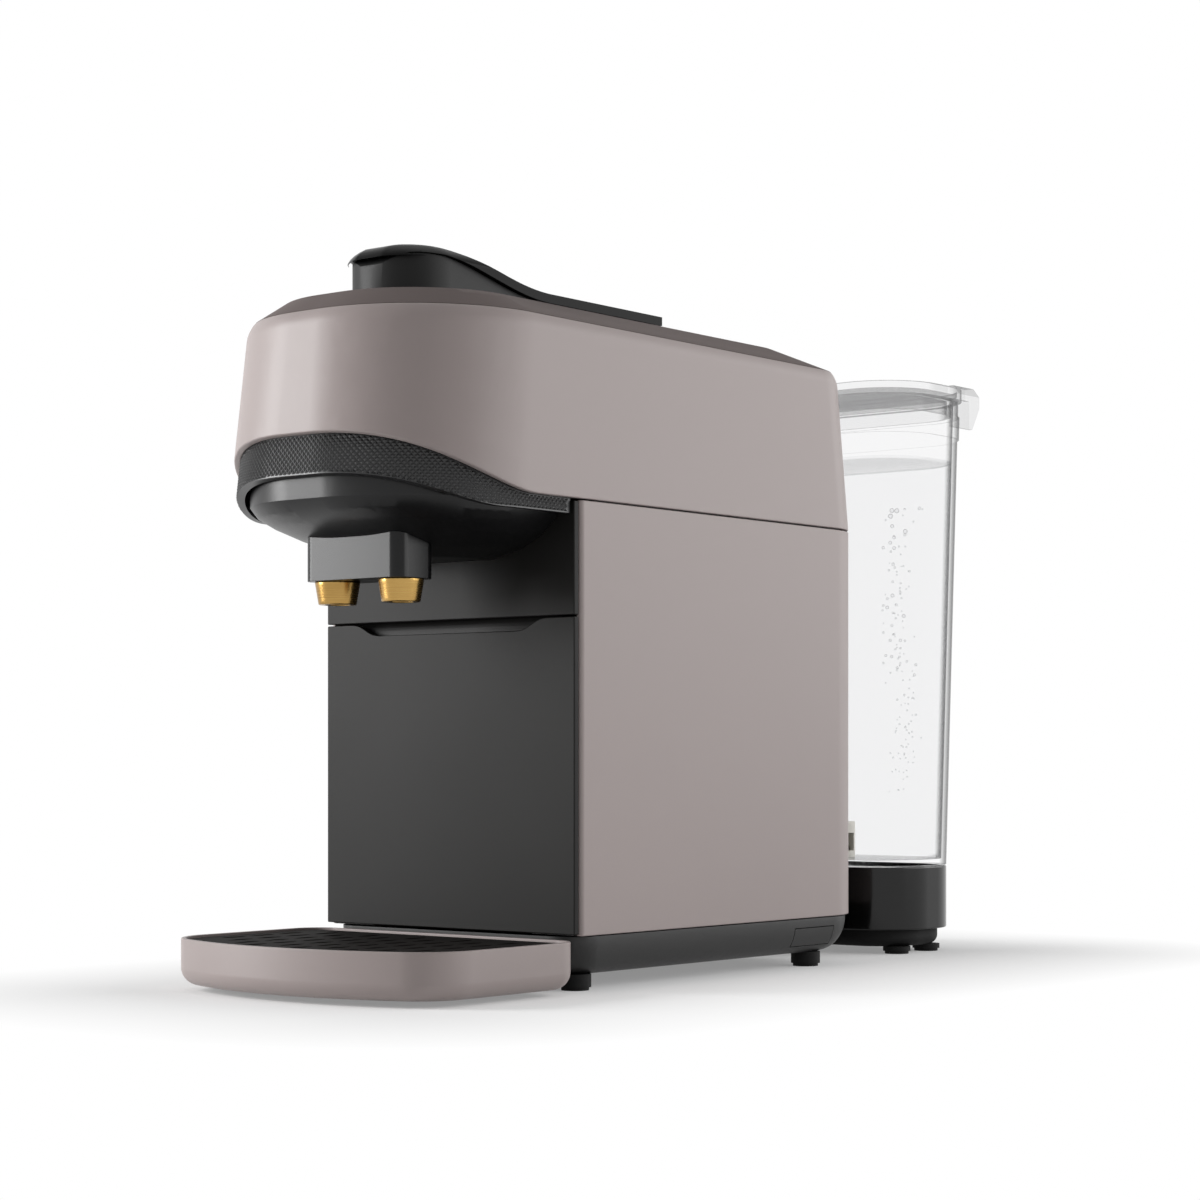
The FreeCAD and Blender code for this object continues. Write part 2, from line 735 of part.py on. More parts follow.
def brew_cage():
    plates = [box(cage_x, cage_x + cage_plate, y_at(holder_front - 30), y_at(cage_rear + 4), shelf_z,
                  cage_top_z),
              box(-cage_x - cage_plate, -cage_x, y_at(holder_front - 30), y_at(cage_rear + 4), shelf_z,
                  cage_top_z)]
    back = box(-cage_x - 1, cage_x + 1, y_at(cage_rear), y_at(cage_rear + 4), shelf_z, cage_top_z)
    flanges = [box(cage_x, cage_x + cage_plate + 10, y_at(cage_rear - 23), y_at(cage_rear + 4), shelf_z,
                   shelf_z + 3),
               box(-cage_x - cage_plate - 10, -cage_x, y_at(cage_rear - 23), y_at(cage_rear + 4), shelf_z,
                   shelf_z + 3)]
    cage = fuse(plates + [back] + flanges)
    cage = cage.cut(rod(0, y_at(cage_rear) - 1, brew_z, port_radius + 0.2, 7, (0, 1, 0)))
    for x, y in cage_screw_places:
        cage = cage.cut(rod(x, y, shelf_z - 1, screw_radius + 0.1, 6, (0, 0, 1)))
    return cage


port_radius = 4.0
injector_port_length = 8.0


def injector():
    head = rod(0, y_at(injector_face), brew_z, injector_radius, injector_length, (0, 1, 0))
    port = rod(0, y_at(cage_rear), brew_z, port_radius, injector_port_length, (0, 1, 0))
    return head.fuse(port).removeSplitter().cut(rod(0, y_at(injector_face) - 1, brew_z, 1.2,
                                                    injector_length + 12, (0, 1, 0)))


rack_base_z = pitch_z - gear_dedendum
tooth_pitch = 2 * math.pi * gear_pitch_radius / gear_teeth_per_turn
flank = math.tan(math.radians(22.0))
carriage_travel = gear_pitch_radius * math.radians(lever_open_deg)
rack_end = lever_axis + carriage_travel + 1.5 * tooth_pitch
cross_rear = lever_axis - 2.0 * tooth_pitch
cross_front = cross_rear - 14.0


def tooth_half_widths(tip, root):
    at_pitch = (tooth_pitch / 2.0 - gear_backlash) / 2.0
    return at_pitch - flank * tip, at_pitch + flank * root


def rack(x):
    bar = box(x - gear_width / 2.0, x + gear_width / 2.0, y_at(cross_rear) - 2, y_at(rack_end),
              rack_base_z - carriage_arm, rack_base_z)
    tip, root = tooth_half_widths(gear_addendum, gear_dedendum)
    pieces = [bar]
    count = int((rack_end - lever_axis) / tooth_pitch)
    for i in range(-1, count + 1):
        y = axis_y + i * tooth_pitch
        outline = [(y - root, rack_base_z - 0.5), (y + root, rack_base_z - 0.5), (y + root, rack_base_z),
                   (y + tip, pitch_z + gear_addendum), (y - tip, pitch_z + gear_addendum),
                   (y - root, rack_base_z)]
        pieces.append(side_prism(outline, gear_width / 2.0).translated(Vector(x, 0, 0)))
    return fuse(pieces)


def brew_carriage():
    cup = rod(0, y_at(holder_front), brew_z, holder_radius, holder_length, (0, 1, 0))
    low = rack_base_z - carriage_arm
    reach = arm_inner_x + carriage_arm
    yoke = box(-reach, reach, y_at(holder_front), y_at(holder_front + 6), brew_z + 6, rack_base_z)
    cavity = rod(0, y_at(holder_front + holder_floor), brew_z, capsule_radius, holder_length, (0, 1, 0))
    arms = [box(x, x + carriage_arm, y_at(holder_front), y_at(cross_rear), low, rack_base_z)
            for x in (arm_inner_x, -reach)]
    cross = box(-reach, reach, y_at(cross_front), y_at(cross_rear), low, rack_base_z)
    carriage = fuse([cup, yoke] + arms + [cross, rack(gear_x), rack(-gear_x)]).cut(cavity)
    for i in range(7):
        turn = i * math.pi / 3.0
        spread = 0.0 if i == 6 else capsule_radius * 0.55
        carriage = carriage.cut(rod(spread * math.cos(turn), y_at(holder_front) - 1,
                                    brew_z + spread * math.sin(turn),
                                    1.0, holder_floor + 2, (0, 1, 0)))
    return carriage


def capsule_chute():
    low = holder_radius + brew_z + 2.0
    top = deck_z - wall
    y0 = y_at(chute_front)
    y1 = y_at(chute_front + chute_length)
    outside = box(-chute_half_width - chute_wall, chute_half_width + chute_wall, y0 - chute_wall,
                  y1 + chute_wall, low, top)
    flange = box(-chute_half_width - 4, chute_half_width + 4, y0 - 4, y1 + 4, top - 2, top)
    return outside.fuse(flange).removeSplitter().cut(box(-chute_half_width, chute_half_width, y0, y1,
                                                         low - 1, top + 1))


# Lever
def lever_top(offset):
    return wave(offset, lever_crest_end, lever_crest, deck_z + lever_flat_rise, lever_crest_rise)


def lever_profile(drop, inset):
    """Side outline of the lever, shrunk by inset and lowered by drop, from its curled nose to its tail."""
    nose = -lever_front + inset
    radius = lever_curl_radius - inset
    bottom = deck_z + lever_deck_gap
    crest = lever_top(lever_crest) - drop
    shoulder = nose + radius
    bend = math.sqrt(0.5) * radius
    start = (0, y_at(nose), bottom)
    curl_low = (0, y_at(nose), crest - radius)
    curl_mid = (0, y_at(shoulder - bend), crest - radius + bend)
    curl_top = (0, y_at(shoulder), crest)
    count = 8
    places = [lever_crest + (lever_crest_end - lever_crest) * i / count for i in range(count + 1)]
    fall = [(0, y_at(y), lever_top(y) - drop) for y in places]
    tail_y = axis_y + lever_tail
    tail = (0, tail_y, deck_z + lever_flat_rise - drop)
    edges = [line(start, curl_low), Part.Arc(Vector(*curl_low), Vector(*curl_mid),
                                             Vector(*curl_top)).toShape(),
             line(curl_top, fall[0]), spline(fall), line(fall[-1], tail),
             line(tail, (0, tail_y, bottom)), line((0, tail_y, bottom), start)]
    return Part.Face(Part.Wire(edges))


def lever_block(drop, inset, half):
    block = lever_profile(drop, inset).extrude(Vector(2 * half, 0, 0)).translated(Vector(-half, 0, 0))
    corner = max(lever_plan_corner - (lever_half_width - half), 1.0)
    outline = plan(half, y_at(-lever_front) + inset, axis_y + lever_tail + 30, corner, 1.0, deck_z - 5)
    return block.common(prism(outline, far))


skirt_half = lever_half_width - lever_skirt_inset
skirt_end_radius = lever_axis_rise - 0.1


def lever_dome():
    """Space under the rounded crown of the lever's nose."""
    crest = lever_top(lever_crest)
    count = 5
    wires = [plan(lever_half_width, y_at(-lever_front), axis_y + lever_tail + 1.0, lever_plan_corner, 1.0,
                  deck_z)]
    for i in range(count + 1):
        share = i / count
        inset = lever_dome_in * share ** 2
        wires.append(plan(lever_half_width - inset, y_at(-lever_front) + inset, axis_y + lever_tail + 1.0,
                          lever_plan_corner - inset, 1.0, crest - lever_dome_height * (1 - share)))
    return loft(wires, True)


def lever_cover():
    inside = lever_block(lever_strip, lever_nose_wall, lever_half_width + 1)
    cover = lever_block(0.0, 0.0, lever_half_width).common(lever_dome()).cut(inside)
    nose_end = y_at(-lever_front + lever_plan_corner)
    lip_z = lever_top(lever_crest) - lever_strip - lever_nose_lip
    return cover.cut(box(-far, far, -far, nose_end, -far, lip_z))


def lever_skirt():
    outside = lever_block(lever_strip, lever_skirt_inset, skirt_half)
    hollow = lever_block(lever_strip + skirt_roof, lever_skirt_inset + lever_skirt_wall,
                         skirt_half - lever_skirt_wall)
    skirt = outside.cut(hollow).cut(hollow.translated(Vector(0, 0, -skirt_roof)))
    inner = skirt_half - lever_skirt_wall
    skirt = skirt.cut(box(-inner, inner, axis_y - 2 * hub_radius, far, 0, far))
    skirt = skirt.cut(box(-far, far, axis_y, far, 0, far))
    ends = [rod(x, axis_y, axis_z, skirt_end_radius, lever_skirt_wall, (1, 0, 0))
            for x in (inner, -skirt_half)]
    return fuse([skirt] + ends).cut(rod(-far, axis_y, axis_z, shaft_radius, 2 * far, (1, 0, 0)))


def lever_shaft():
    return rod(-skirt_half, axis_y, axis_z, shaft_radius, 2 * skirt_half, (1, 0, 0))


def lever_gear(x):
    """Toothed sector that hangs from the shaft and drives the rack under it."""
    step = 2 * math.pi / gear_teeth_per_turn
    tip, root = tooth_half_widths(gear_addendum, gear_dedendum)
    root_radius = gear_pitch_radius - gear_dedendum
    tip_radius = gear_pitch_radius + gear_addendum
    count = int(math.ceil(math.radians(lever_open_deg) / step))

    def polar(angle, radius, along):
        return (axis_y + radius * math.sin(angle) + along * math.cos(angle),
                axis_z - radius * math.cos(angle) + along * math.sin(angle))

    outline = []
    for i in range(count + 1):
        angle = (i - 0.5) * step
        outline += [polar(angle, root_radius, -root), polar(angle, tip_radius, -tip),
                    polar(angle, tip_radius, tip),
                    polar(angle, root_radius, root)]
    last = (count - 0.5) * step
    rim_in = root_radius - 4.0
    inner = [polar(last - i * (last + 0.5 * step) / 8.0, rim_in, 0.0) for i in range(9)]
    rim = side_prism(outline + inner, gear_width / 2.0)
    middle = math.radians(lever_open_deg) / 2.0
    spoke = [polar(middle, 0.0, -hub_radius), polar(middle, 0.0, hub_radius),
             polar(middle + 0.3, rim_in + 1.5, 0.0),
             polar(middle - 0.3, rim_in + 1.5, 0.0)]
    arm = side_prism([spoke[1], spoke[2], spoke[3], spoke[0]], gear_width / 2.0)
    hub = rod(-gear_width / 2.0, axis_y, axis_z, hub_radius, gear_width, (1, 0, 0))
    gear = fuse([rim, arm, hub]).cut(rod(-far, axis_y, axis_z, shaft_radius, 2 * far, (1, 0, 0)))
    return gear.translated(Vector(x, 0, 0))


def hinge_bracket():
    top = deck_z - wall
    half = ear_x + ear_thickness / 2.0
    plate = box(-half, half, axis_y - 12, axis_y + 12, top - 3, top)
    ears = []
    for x in (ear_x, -ear_x):
        web = box(x - ear_thickness / 2.0, x + ear_thickness / 2.0, axis_y - hub_radius,
                  axis_y + hub_radius, top - 1, axis_z)
        ears.append(web.fuse(rod(x - ear_thickness / 2.0, axis_y, axis_z, hub_radius, ear_thickness,
                                 (1, 0, 0))))
    return fuse([plate] + ears).cut(rod(-far, axis_y, axis_z, shaft_radius + shaft_clearance, 2 * far,
                                        (1, 0, 0)))


# Buttons
plate_flange = 3.0
plate_flange_thickness = 1.7
button_flange = 1.5
button_foot = 2.5
board_post = 8.0
board_thickness = 1.6


def button_x(index):
    return (index - 1) * button_spacing


def button_plate():
    top = deck_z - wall
    y = y_at(button_row)
    gap = 0.15
    plate = prism(plan(plate_half_width - gap, y - plate_half_depth + gap, y + plate_half_depth - gap,
                       plate_half_depth,
                       plate_half_depth, top), wall + 0.2)
    flange = prism(plan(plate_half_width + plate_flange, y - plate_half_depth - plate_flange,
                        y + plate_half_depth + plate_flange, plate_half_depth, plate_half_depth,
                        top - plate_flange_thickness), plate_flange_thickness)
    posts = [rod(sx * (plate_half_width - 3), y + sy * 6.0, top - plate_flange_thickness - board_post, 2.0,
                 board_post + 0.5,
                 (0, 0, 1)) for sx in (-1, 1) for sy in (-1, 1)]
    plate = fuse([plate, flange] + posts)
    for i in range(3):
        plate = plate.cut(rod(button_x(i), y, top - 10, button_radius + button_clearance, 20, (0, 0, 1)))
    return plate


button_base_z = deck_z - wall - plate_flange_thickness - 0.3 - button_foot


def button(index):
    y = y_at(button_row)
    stem = rod(button_x(index), y, button_base_z, button_radius, deck_z + button_proud - button_base_z,
               (0, 0, 1))
    stem = stem.makeFillet(0.6,
                           [e for e in stem.Edges if abs(e.CenterOfMass.z - deck_z - button_proud) < 1e-4])
    return stem.fuse(rod(button_x(index), y, button_base_z, button_radius + button_flange, button_foot,
                         (0, 0, 1))).removeSplitter()


def button_board():
    y = y_at(button_row)
    top = deck_z - wall - plate_flange_thickness - board_post
    board = box(-plate_half_width, plate_half_width, y - plate_half_depth + 4, y + plate_half_depth - 4,
                top - board_thickness, top)
    switches = [rod(button_x(i), y, top, 3.0, button_base_z - button_travel - 0.4 - top, (0, 0, 1))
                for i in range(3)]
    return fuse([board] + switches)


# Water path
heater_left_x = -50.0
heater_right_x = -6.0
heater_bottom_z = 62.0
heater_top = 150.0
heater_front_gap = 15.0
heater_rear_gap = 28.0
heater_rib = 2.0
heater_rib_count = 8
heater_rib_pitch = 10.0
heater_port = 5.0
lug_width = 10.0
lug_height = 14.0
pump_x = 30.0
pump_setback = 51.0
pump_y = body_rear_y - pump_setback
pump_bottom_z = 44.0
pump_length = 92.0
pump_radius = 20.0
pump_neck_length = 12.0
pump_neck_radius = 11.0
mount_height = 8.0
mount_margin = 4.0
meter_radius = 13.0
meter_height = 16.0
meter_outlet_rise = 9.0
meter_outlet_length = 5.0
hose_bend = 6.0
hose_rise = 16.0
flow_meter_z = base_top_z + 2.8
arm_bottom_z = base_underside_z + base_floor + 0.2
arm_top_z = arm_bottom_z + 6.4
hose_z = (arm_bottom_z + arm_top_z) / 2.0
heater_inlet = (-15.0, pump_y)


def thermoblock():
    front = bulkhead_y + 3 + heater_front_gap
    rear = body_rear_y - heater_rear_gap
    block = box(heater_left_x, heater_right_x, front, rear, heater_bottom_z, heater_top)
    lug_x = heater_left_x + 6.0
    lugs = [box(lug_x, lug_x + lug_width, bulkhead_y + 3, front + 1.0, z, z + lug_height)
            for z in (heater_bottom_z + 8.0, heater_top - 2 * lug_height - 2.0)]
    ribs = []
    for i in range(heater_rib_count):
        z = heater_bottom_z + 4.0 + i * heater_rib_pitch
        ribs.append(box(heater_left_x - heater_rib, heater_left_x, front + 4.0, rear - 4.0, z, z + 4.0))
    ports = [rod(x, y, heater_top, hose_radius + 1.6, heater_port, (0, 0, 1))
             for x, y in (heater_hose, heater_inlet)]
    return fuse([block] + lugs + ribs + ports)


def pump():
    coil = rod(pump_x, pump_y, pump_bottom_z + pump_neck_length, pump_radius,
               pump_length - 2 * pump_neck_length, (0, 0, 1))
    neck = rod(pump_x, pump_y, pump_bottom_z, pump_neck_radius, pump_length, (0, 0, 1))
    return coil.fuse(neck).removeSplitter()


def pump_mount(z):
    reach = pump_radius + mount_margin
    block = box(pump_x - reach, pump_x + reach, bulkhead_y + 3, pump_y + pump_radius * 0.6, z,
                z + mount_height)
    return block.cut(rod(pump_x, pump_y, z - 1, pump_radius, mount_height + 2, (0, 0, 1)))


def flow_meter():
    body = rod(0, flow_meter_y, flow_meter_z, meter_radius, meter_height, (0, 0, 1))
    outlet = rod(meter_radius - 1.0, flow_meter_y, flow_meter_z + meter_outlet_rise, hose_radius + 1.4,
                 meter_outlet_length, (1, 0, 0))
    return body.fuse(outlet).removeSplitter()


def hose_tank():
    return tube([(0, dock_mid_y, dock_top_z - 10.5), (0, dock_mid_y, hose_z), (0, flow_meter_y, hose_z),
                 (0, flow_meter_y, flow_meter_z)], hose_radius, hose_bend)


def hose_flow():
    z = flow_meter_z + meter_outlet_rise
    start = meter_radius - 1.0 + meter_outlet_length
    return tube([(start, flow_meter_y, z), (pump_x, flow_meter_y, z), (pump_x, pump_y, z),
                 (pump_x, pump_y, pump_bottom_z)], hose_radius, hose_bend)


def hose_pump():
    top = pump_bottom_z + pump_length
    over = heater_top + hose_rise
    return tube([(pump_x, pump_y, top), (pump_x, pump_y, over), (heater_inlet[0], heater_inlet[1], over),
                 (heater_inlet[0], heater_inlet[1], heater_top + heater_port)], hose_radius, hose_bend + 1.0)


def hose_heater():
    x, y = heater_hose
    turn_y = y_at(cage_rear) + 26.0
    return tube([(x, y, heater_top + heater_port), (x, y, brew_z), (x, turn_y, brew_z), (0, turn_y, brew_z),
                 (0, y_at(cage_rear) + injector_port_length, brew_z)], hose_radius, hose_bend + 2.0)


power_board_left_x = -22.0
power_board_right_x = 50.0
power_board_front_setback = 78.0
power_board_rear_setback = 14.0
power_board_rise = 4.0
relay_length = 20.0
relay_width = 18.0
relay_height = 14.4
can_radius = 7.0
can_height = 16.0


def control_board():
    low = shelf_z + power_board_rise
    top = low + board_thickness
    front = body_rear_y - power_board_front_setback
    rear = body_rear_y - power_board_rear_setback
    board = box(power_board_left_x, power_board_right_x, front, rear, low, top)
    posts = [rod(x, y, shelf_z, 2.5, power_board_rise, (0, 0, 1))
             for x in (power_board_left_x + 4.0, power_board_right_x - 4.0)
             for y in (front + 4.0, rear - 4.0)]
    relay_x = power_board_left_x + 22.0
    relay = box(relay_x, relay_x + relay_width, front + 12.0, front + 12.0 + relay_length, top,
                top + relay_height)
    can = rod(power_board_right_x - 2 * can_radius, rear - 22.0, top, can_radius, can_height, (0, 0, 1))
    return fuse([board, relay, can] + posts)


# Tank and dock
def tank_section(share, z, inset=0.0):
    """Plan of the tank between its foot (share 0) and its mouth (share 1)."""
    half = dock_half_width + share * tank_flare - inset
    front = dock_front_y - share * tank_front_flare + inset
    rear = dock_front_y + dock_depth + share * tank_rear_flare - inset
    return plan(half, front, rear, tank_corner - inset, tank_corner - inset, z)


dock_roof_z = dock_top_z - 5.0
dock_roof = 2.5
platform_inset = 4.0
dock_foot_places = [(side * (dock_half_width - platform_inset - foot_radius - 1), y)
                    for side in (-1, 1) for y in (dock_mid_y - 12, dock_mid_y + 12)]
spigot_radius = 4.6


def tank_dock():
    height = dock_top_z - dock_bottom_z
    cup = prism(tank_section(0, dock_bottom_z), height)
    cup = cup.cut(prism(tank_section(0, dock_bottom_z - 1, wall), dock_roof_z - dock_bottom_z + 1))
    cup = cup.cut(prism(tank_section(0, dock_roof_z + dock_roof, wall), height))
    cup = cup.cut(rod(0, dock_mid_y, dock_roof_z - 1, spigot_radius, dock_roof + 2, (0, 0, 1)))
    cup = cup.cut(box(-hose_radius - 0.4, hose_radius + 0.4, dock_front_y - 1, dock_front_y + wall + 1,
                      dock_bottom_z - 1,
                      hose_z + hose_radius + 0.4))
    return cup


def dock_platform():
    foot = prism(tank_section(0, platform_bottom_z, platform_inset), dock_bottom_z - platform_bottom_z)
    foot = foot.makeFillet(4.0, bottom_edges(foot, platform_bottom_z))
    arm = box(-arm_half_width, arm_half_width, body_rear_y - 10, dock_front_y - 0.4, arm_bottom_z,
              arm_top_z)
    web = box(-arm_half_width, arm_half_width, body_rear_y + 4, dock_front_y + platform_inset + 8,
              base_underside_z,
              dock_bottom_z)
    platform = fuse([foot, arm, web])
    groove = box(-hose_radius - 0.3, hose_radius + 0.3, body_rear_y - 20, dock_mid_y + hose_radius + 4,
                 hose_z - hose_radius - 0.3, arm_top_z + 1)
    return platform.cut(groove)


def dock_spigot():
    top = dock_roof_z + dock_roof + 1.0
    stem = rod(0, dock_mid_y, dock_top_z - 10.5, spigot_radius, top - dock_top_z + 10.5, (0, 0, 1))
    collar = rod(0, dock_mid_y, dock_roof_z + dock_roof, spigot_radius + 2.0, 0.8, (0, 0, 1))
    return stem.fuse(collar).removeSplitter().cut(rod(0, dock_mid_y, dock_top_z - 9, 2.4, 40, (0, 0, 1)))


tank_foot_z = dock_roof_z + dock_roof + 1.4
tank_floor_z = dock_top_z + 3.0
valve_hole = 5.4
collar_bottom_z = tank_top_z - 16.6
collar_top_z = tank_top_z - 6.6
collar_out = 0.7


def water_tank():
    low = dock_top_z + tank_gap
    outside = loft([tank_section(0, low), tank_section(1, tank_top_z)], True)
    inside = loft([tank_section(0, tank_floor_z, tank_wall), tank_section(1, tank_top_z + 1, tank_wall)],
                  True)
    foot = prism(tank_section(0, tank_foot_z, wall + tank_gap), low - tank_foot_z + 0.5)
    share0 = (collar_bottom_z - low) / (tank_top_z - low)
    share1 = (collar_top_z - low) / (tank_top_z - low)
    collar = loft([tank_section(share0, collar_bottom_z, -collar_out),
                   tank_section(share1, collar_top_z, -collar_out)], True)
    knuckles = []
    for y0 in (dock_mid_y - knuckle_run - 6, dock_mid_y + knuckle_run):
        barrel = rod(hinge_x, y0, hinge_z, lid_knuckle_radius, 6.0, (0, 1, 0))
        stem = box(hinge_x - lid_knuckle_radius, -dock_half_width - tank_flare + 1.0, y0, y0 + 6.0,
                   hinge_z - 9.0,
                   tank_top_z - 0.2)
        neck = box(hinge_x - lid_knuckle_radius, hinge_x + lid_knuckle_radius, y0, y0 + 6.0,
                   tank_top_z - 1.0, hinge_z)
        stem = stem.fuse(neck)
        knuckles.append(barrel.fuse(stem))
    tank = fuse([outside, foot, collar]).cut(inside)
    tank = tank.fuse(fuse(knuckles).cut(inside)).removeSplitter()
    for y0 in (dock_mid_y - knuckle_run - 7, dock_mid_y + knuckle_run - 1):
        tank = tank.cut(rod(hinge_x, y0, hinge_z, lid_pin_radius, 8.0, (0, 1, 0)))
    tank = tank.cut(rod(0, dock_mid_y, tank_foot_z - 1, spigot_radius + 2.6, 2.2, (0, 0, 1)))
    return tank.cut(rod(0, dock_mid_y, tank_foot_z - 1, valve_hole, 20, (0, 0, 1)))


hinge_x = -(dock_half_width + tank_flare + lid_overhang + 1.6)
hinge_z = tank_top_z + 2.6
knuckle_run = 9.0
valve_top = 4.0
valve_lift = 3.0
cage_height = 16.0


def tank_valve():
    seat = tank_floor_z + 0.2
    disc = rod(0, dock_mid_y, seat, valve_radius, valve_top, (0, 0, 1))
    stem = rod(0, dock_mid_y, tank_foot_z + 1.8, valve_hole - 1.6, seat - tank_foot_z, (0, 0, 1))
    spring = rod(0, dock_mid_y, seat + valve_top, 4.5, cage_height - valve_top - valve_lift - 3.0,
                 (0, 0, 1))
    return fuse([disc, stem, spring])


def valve_cage():
    outer = valve_radius + 2.6
    cup = rod(0, dock_mid_y, tank_floor_z, outer, cage_height, (0, 0, 1))
    cup = cup.cut(rod(0, dock_mid_y, tank_floor_z - 1, valve_radius + 0.8, cage_height - 1, (0, 0, 1)))
    for turn in (0, 90):
        slot = box(-outer - 1, outer + 1, -3, 3, tank_floor_z + 3, tank_floor_z + cage_height - 5)
        slot.rotate(Vector(0, 0, 0), Vector(0, 0, 1), turn)
        cup = cup.cut(slot.translated(Vector(0, dock_mid_y, 0)))
    return cup


lid_bottom_z = tank_top_z + 0.3
lid_top_z = lid_bottom_z + lid_thickness
ear_out = 5.8
ear_reach = dock_half_width + tank_flare + lid_overhang + ear_out
ear_length = 17.0
ear_drop = 18.0
ear_y = dock_mid_y + 12.0


def lid_ear():
    """Finger tab that hooks out and down beyond the lid's free side."""
    edge = dock_half_width + tank_flare + lid_overhang
    outline = [(edge - 1.5, lid_top_z), (ear_reach - 3.0, lid_top_z), (ear_reach, lid_top_z - 4.0),
               (ear_reach, lid_top_z - ear_drop * 0.5), (edge + 2.2, lid_top_z - ear_drop),
               (edge + 0.6, lid_top_z - ear_drop), (edge + 0.6, lid_bottom_z), (edge - 1.5, lid_bottom_z)]
    corners = [Vector(x, ear_y - ear_length / 2.0, z) for x, z in outline]
    return Part.Face(Part.makePolygon(corners + corners[:1])).extrude(Vector(0, ear_length, 0))


def tank_lid():
    plate = prism(tank_section(1, lid_bottom_z, -lid_overhang), lid_thickness)
    plate = plate.cut(prism(tank_section(1, lid_bottom_z + 2.4, 0.6), lid_thickness))
    plug = prism(tank_section(1, lid_bottom_z - lid_plug, tank_wall + 1.0), lid_plug + 0.5)
    plug = plug.cut(prism(tank_section(1, lid_bottom_z - lid_plug - 1, tank_wall + 2.8), lid_plug + 1.0))
    plug = plug.cut(box(-far, -dock_half_width * 0.6, -far, far, -far, lid_bottom_z))
    barrel = rod(hinge_x, dock_mid_y - knuckle_run + 0.4, hinge_z, lid_knuckle_radius,
                 2 * knuckle_run - 0.8, (0, 1, 0))
    bridge = box(hinge_x, -dock_half_width - tank_flare + 1.0, dock_mid_y - knuckle_run + 0.4,
                 dock_mid_y + knuckle_run - 0.4,
                 lid_bottom_z, lid_bottom_z + 2.4)
    lid = fuse([plate, plug, barrel, bridge, lid_ear()])
    for y0 in (dock_mid_y - knuckle_run - 6.4, dock_mid_y + knuckle_run - 0.4):
        lid = lid.cut(box(hinge_x - 6, hinge_x + lid_knuckle_radius + 0.5, y0, y0 + 6.8, 0, far))
    return lid.cut(rod(hinge_x, -far, hinge_z, lid_pin_radius + shaft_clearance, 2 * far, (0, 1, 0)))


def lid_hinge_pin():
    return rod(hinge_x, dock_mid_y - knuckle_run - 6, hinge_z, lid_pin_radius, 2 * knuckle_run + 12,
               (0, 1, 0))


# Drip tray
tray_front_y = y_at(-tray_reach)
tray_rear_y = body_front_y - 1.0


def tray_outline(inset, z):
    """Tray seen from above: bowed front, round front corners, tighter rear corners."""
    half = tray_half_width - inset
    corner = tray_corner - inset
    bow = tray_bow_radius - inset
    rear_r = tray_rear_corner - min(inset, tray_rear_corner - 2.0)
    rear = tray_rear_y - inset
    front = tray_front_y + inset
    centre_y = front + bow - math.sqrt((bow - corner) ** 2 - (half - corner) ** 2)
    big = (0.0, front + bow)
    lean = math.atan2(centre_y - big[1], half - corner)
    meet = (big[0] + bow * math.cos(lean), big[1] + bow * math.sin(lean))
    lean_deg = math.degrees(lean)
    edges = [line((half, centre_y, z), (half, rear - rear_r, z)),
             corner_arc(half - rear_r, rear - rear_r, z, rear_r, 0, 90),
             line((half - rear_r, rear, z), (rear_r - half, rear, z)),
             corner_arc(rear_r - half, rear - rear_r, z, rear_r, 90, 180),
             line((-half, rear - rear_r, z), (-half, centre_y, z)),
             corner_arc(corner - half, centre_y, z, corner, 180, 180 - lean_deg),
             Part.Arc(Vector(-meet[0], meet[1], z), Vector(0, front, z),
                      Vector(meet[0], meet[1], z)).toShape(),
             corner_arc(half - corner, centre_y, z, corner, lean_deg, 0)]
    return Part.Wire(Part.__sortEdges__(edges))


def drip_tray():
    body = prism(tray_outline(0, tray_underside_z), tray_rim_z - tray_underside_z)
    body = body.makeFillet(tray_round, bottom_edges(body, tray_underside_z))
    ledge_z = tray_rim_z - grid_thickness - 1.0
    basin = prism(tray_outline(tray_rim_wall + tray_ledge, tray_floor_z), tray_rim_z)
    mouth = prism(tray_outline(tray_rim_wall, ledge_z), tray_rim_z)
    under = prism(tray_outline(tray_round + 1.0, tray_underside_z - 1),
                  tray_floor_z - tray_floor - tray_underside_z + 1)
    channel = box(-tongue_half_width - 0.6, tongue_half_width + 0.6, y_at(-tongue_length) - 1,
                  tray_rear_y + 1,
                  tray_underside_z - 1, tray_floor_z - tray_floor)
    return body.cut(basin).cut(mouth).cut(under).cut(channel)


def leaf_slot(x, y, z, height):
    """Pointed slot through the grid, made of two arcs."""
    half_l = grid_slot_length / 2.0
    half_w = grid_slot_width / 2.0
    right = Part.Arc(Vector(x, y - half_l, z), Vector(x + half_w, y, z), Vector(x, y + half_l, z)).toShape()
    left = Part.Arc(Vector(x, y + half_l, z), Vector(x - half_w, y, z), Vector(x, y - half_l, z)).toShape()
    return prism(Part.Wire([right, left]), height)


def drip_grid():
    z = tray_rim_z - grid_thickness - 1.0 + 0.05
    outline = tray_outline(tray_rim_wall + grid_clearance, z)
    plate = prism(outline, grid_thickness)
    keep_in = prism(tray_outline(tray_rim_wall + tray_ledge + 1.0, z - 1), grid_thickness + 2)
    slots = []
    mid_y = (tray_front_y + tray_rear_y) / 2.0
    columns = int(tray_half_width / grid_column_pitch)
    rows = int((tray_reach / 2.0) / grid_row_pitch)
    for i in range(-columns, columns + 1):
        for j in range(-rows, rows + 1):
            shift = grid_row_pitch / 2.0 if i % 2 else 0.0
            slot = leaf_slot(i * grid_column_pitch, mid_y + j * grid_row_pitch + shift, z - 0.5,
                             grid_thickness + 1)
            if slot.common(keep_in).Volume > 0.97 * slot.Volume * 0.999:
                slots.append(slot)
    return plate.cut(Part.makeCompound(slots))


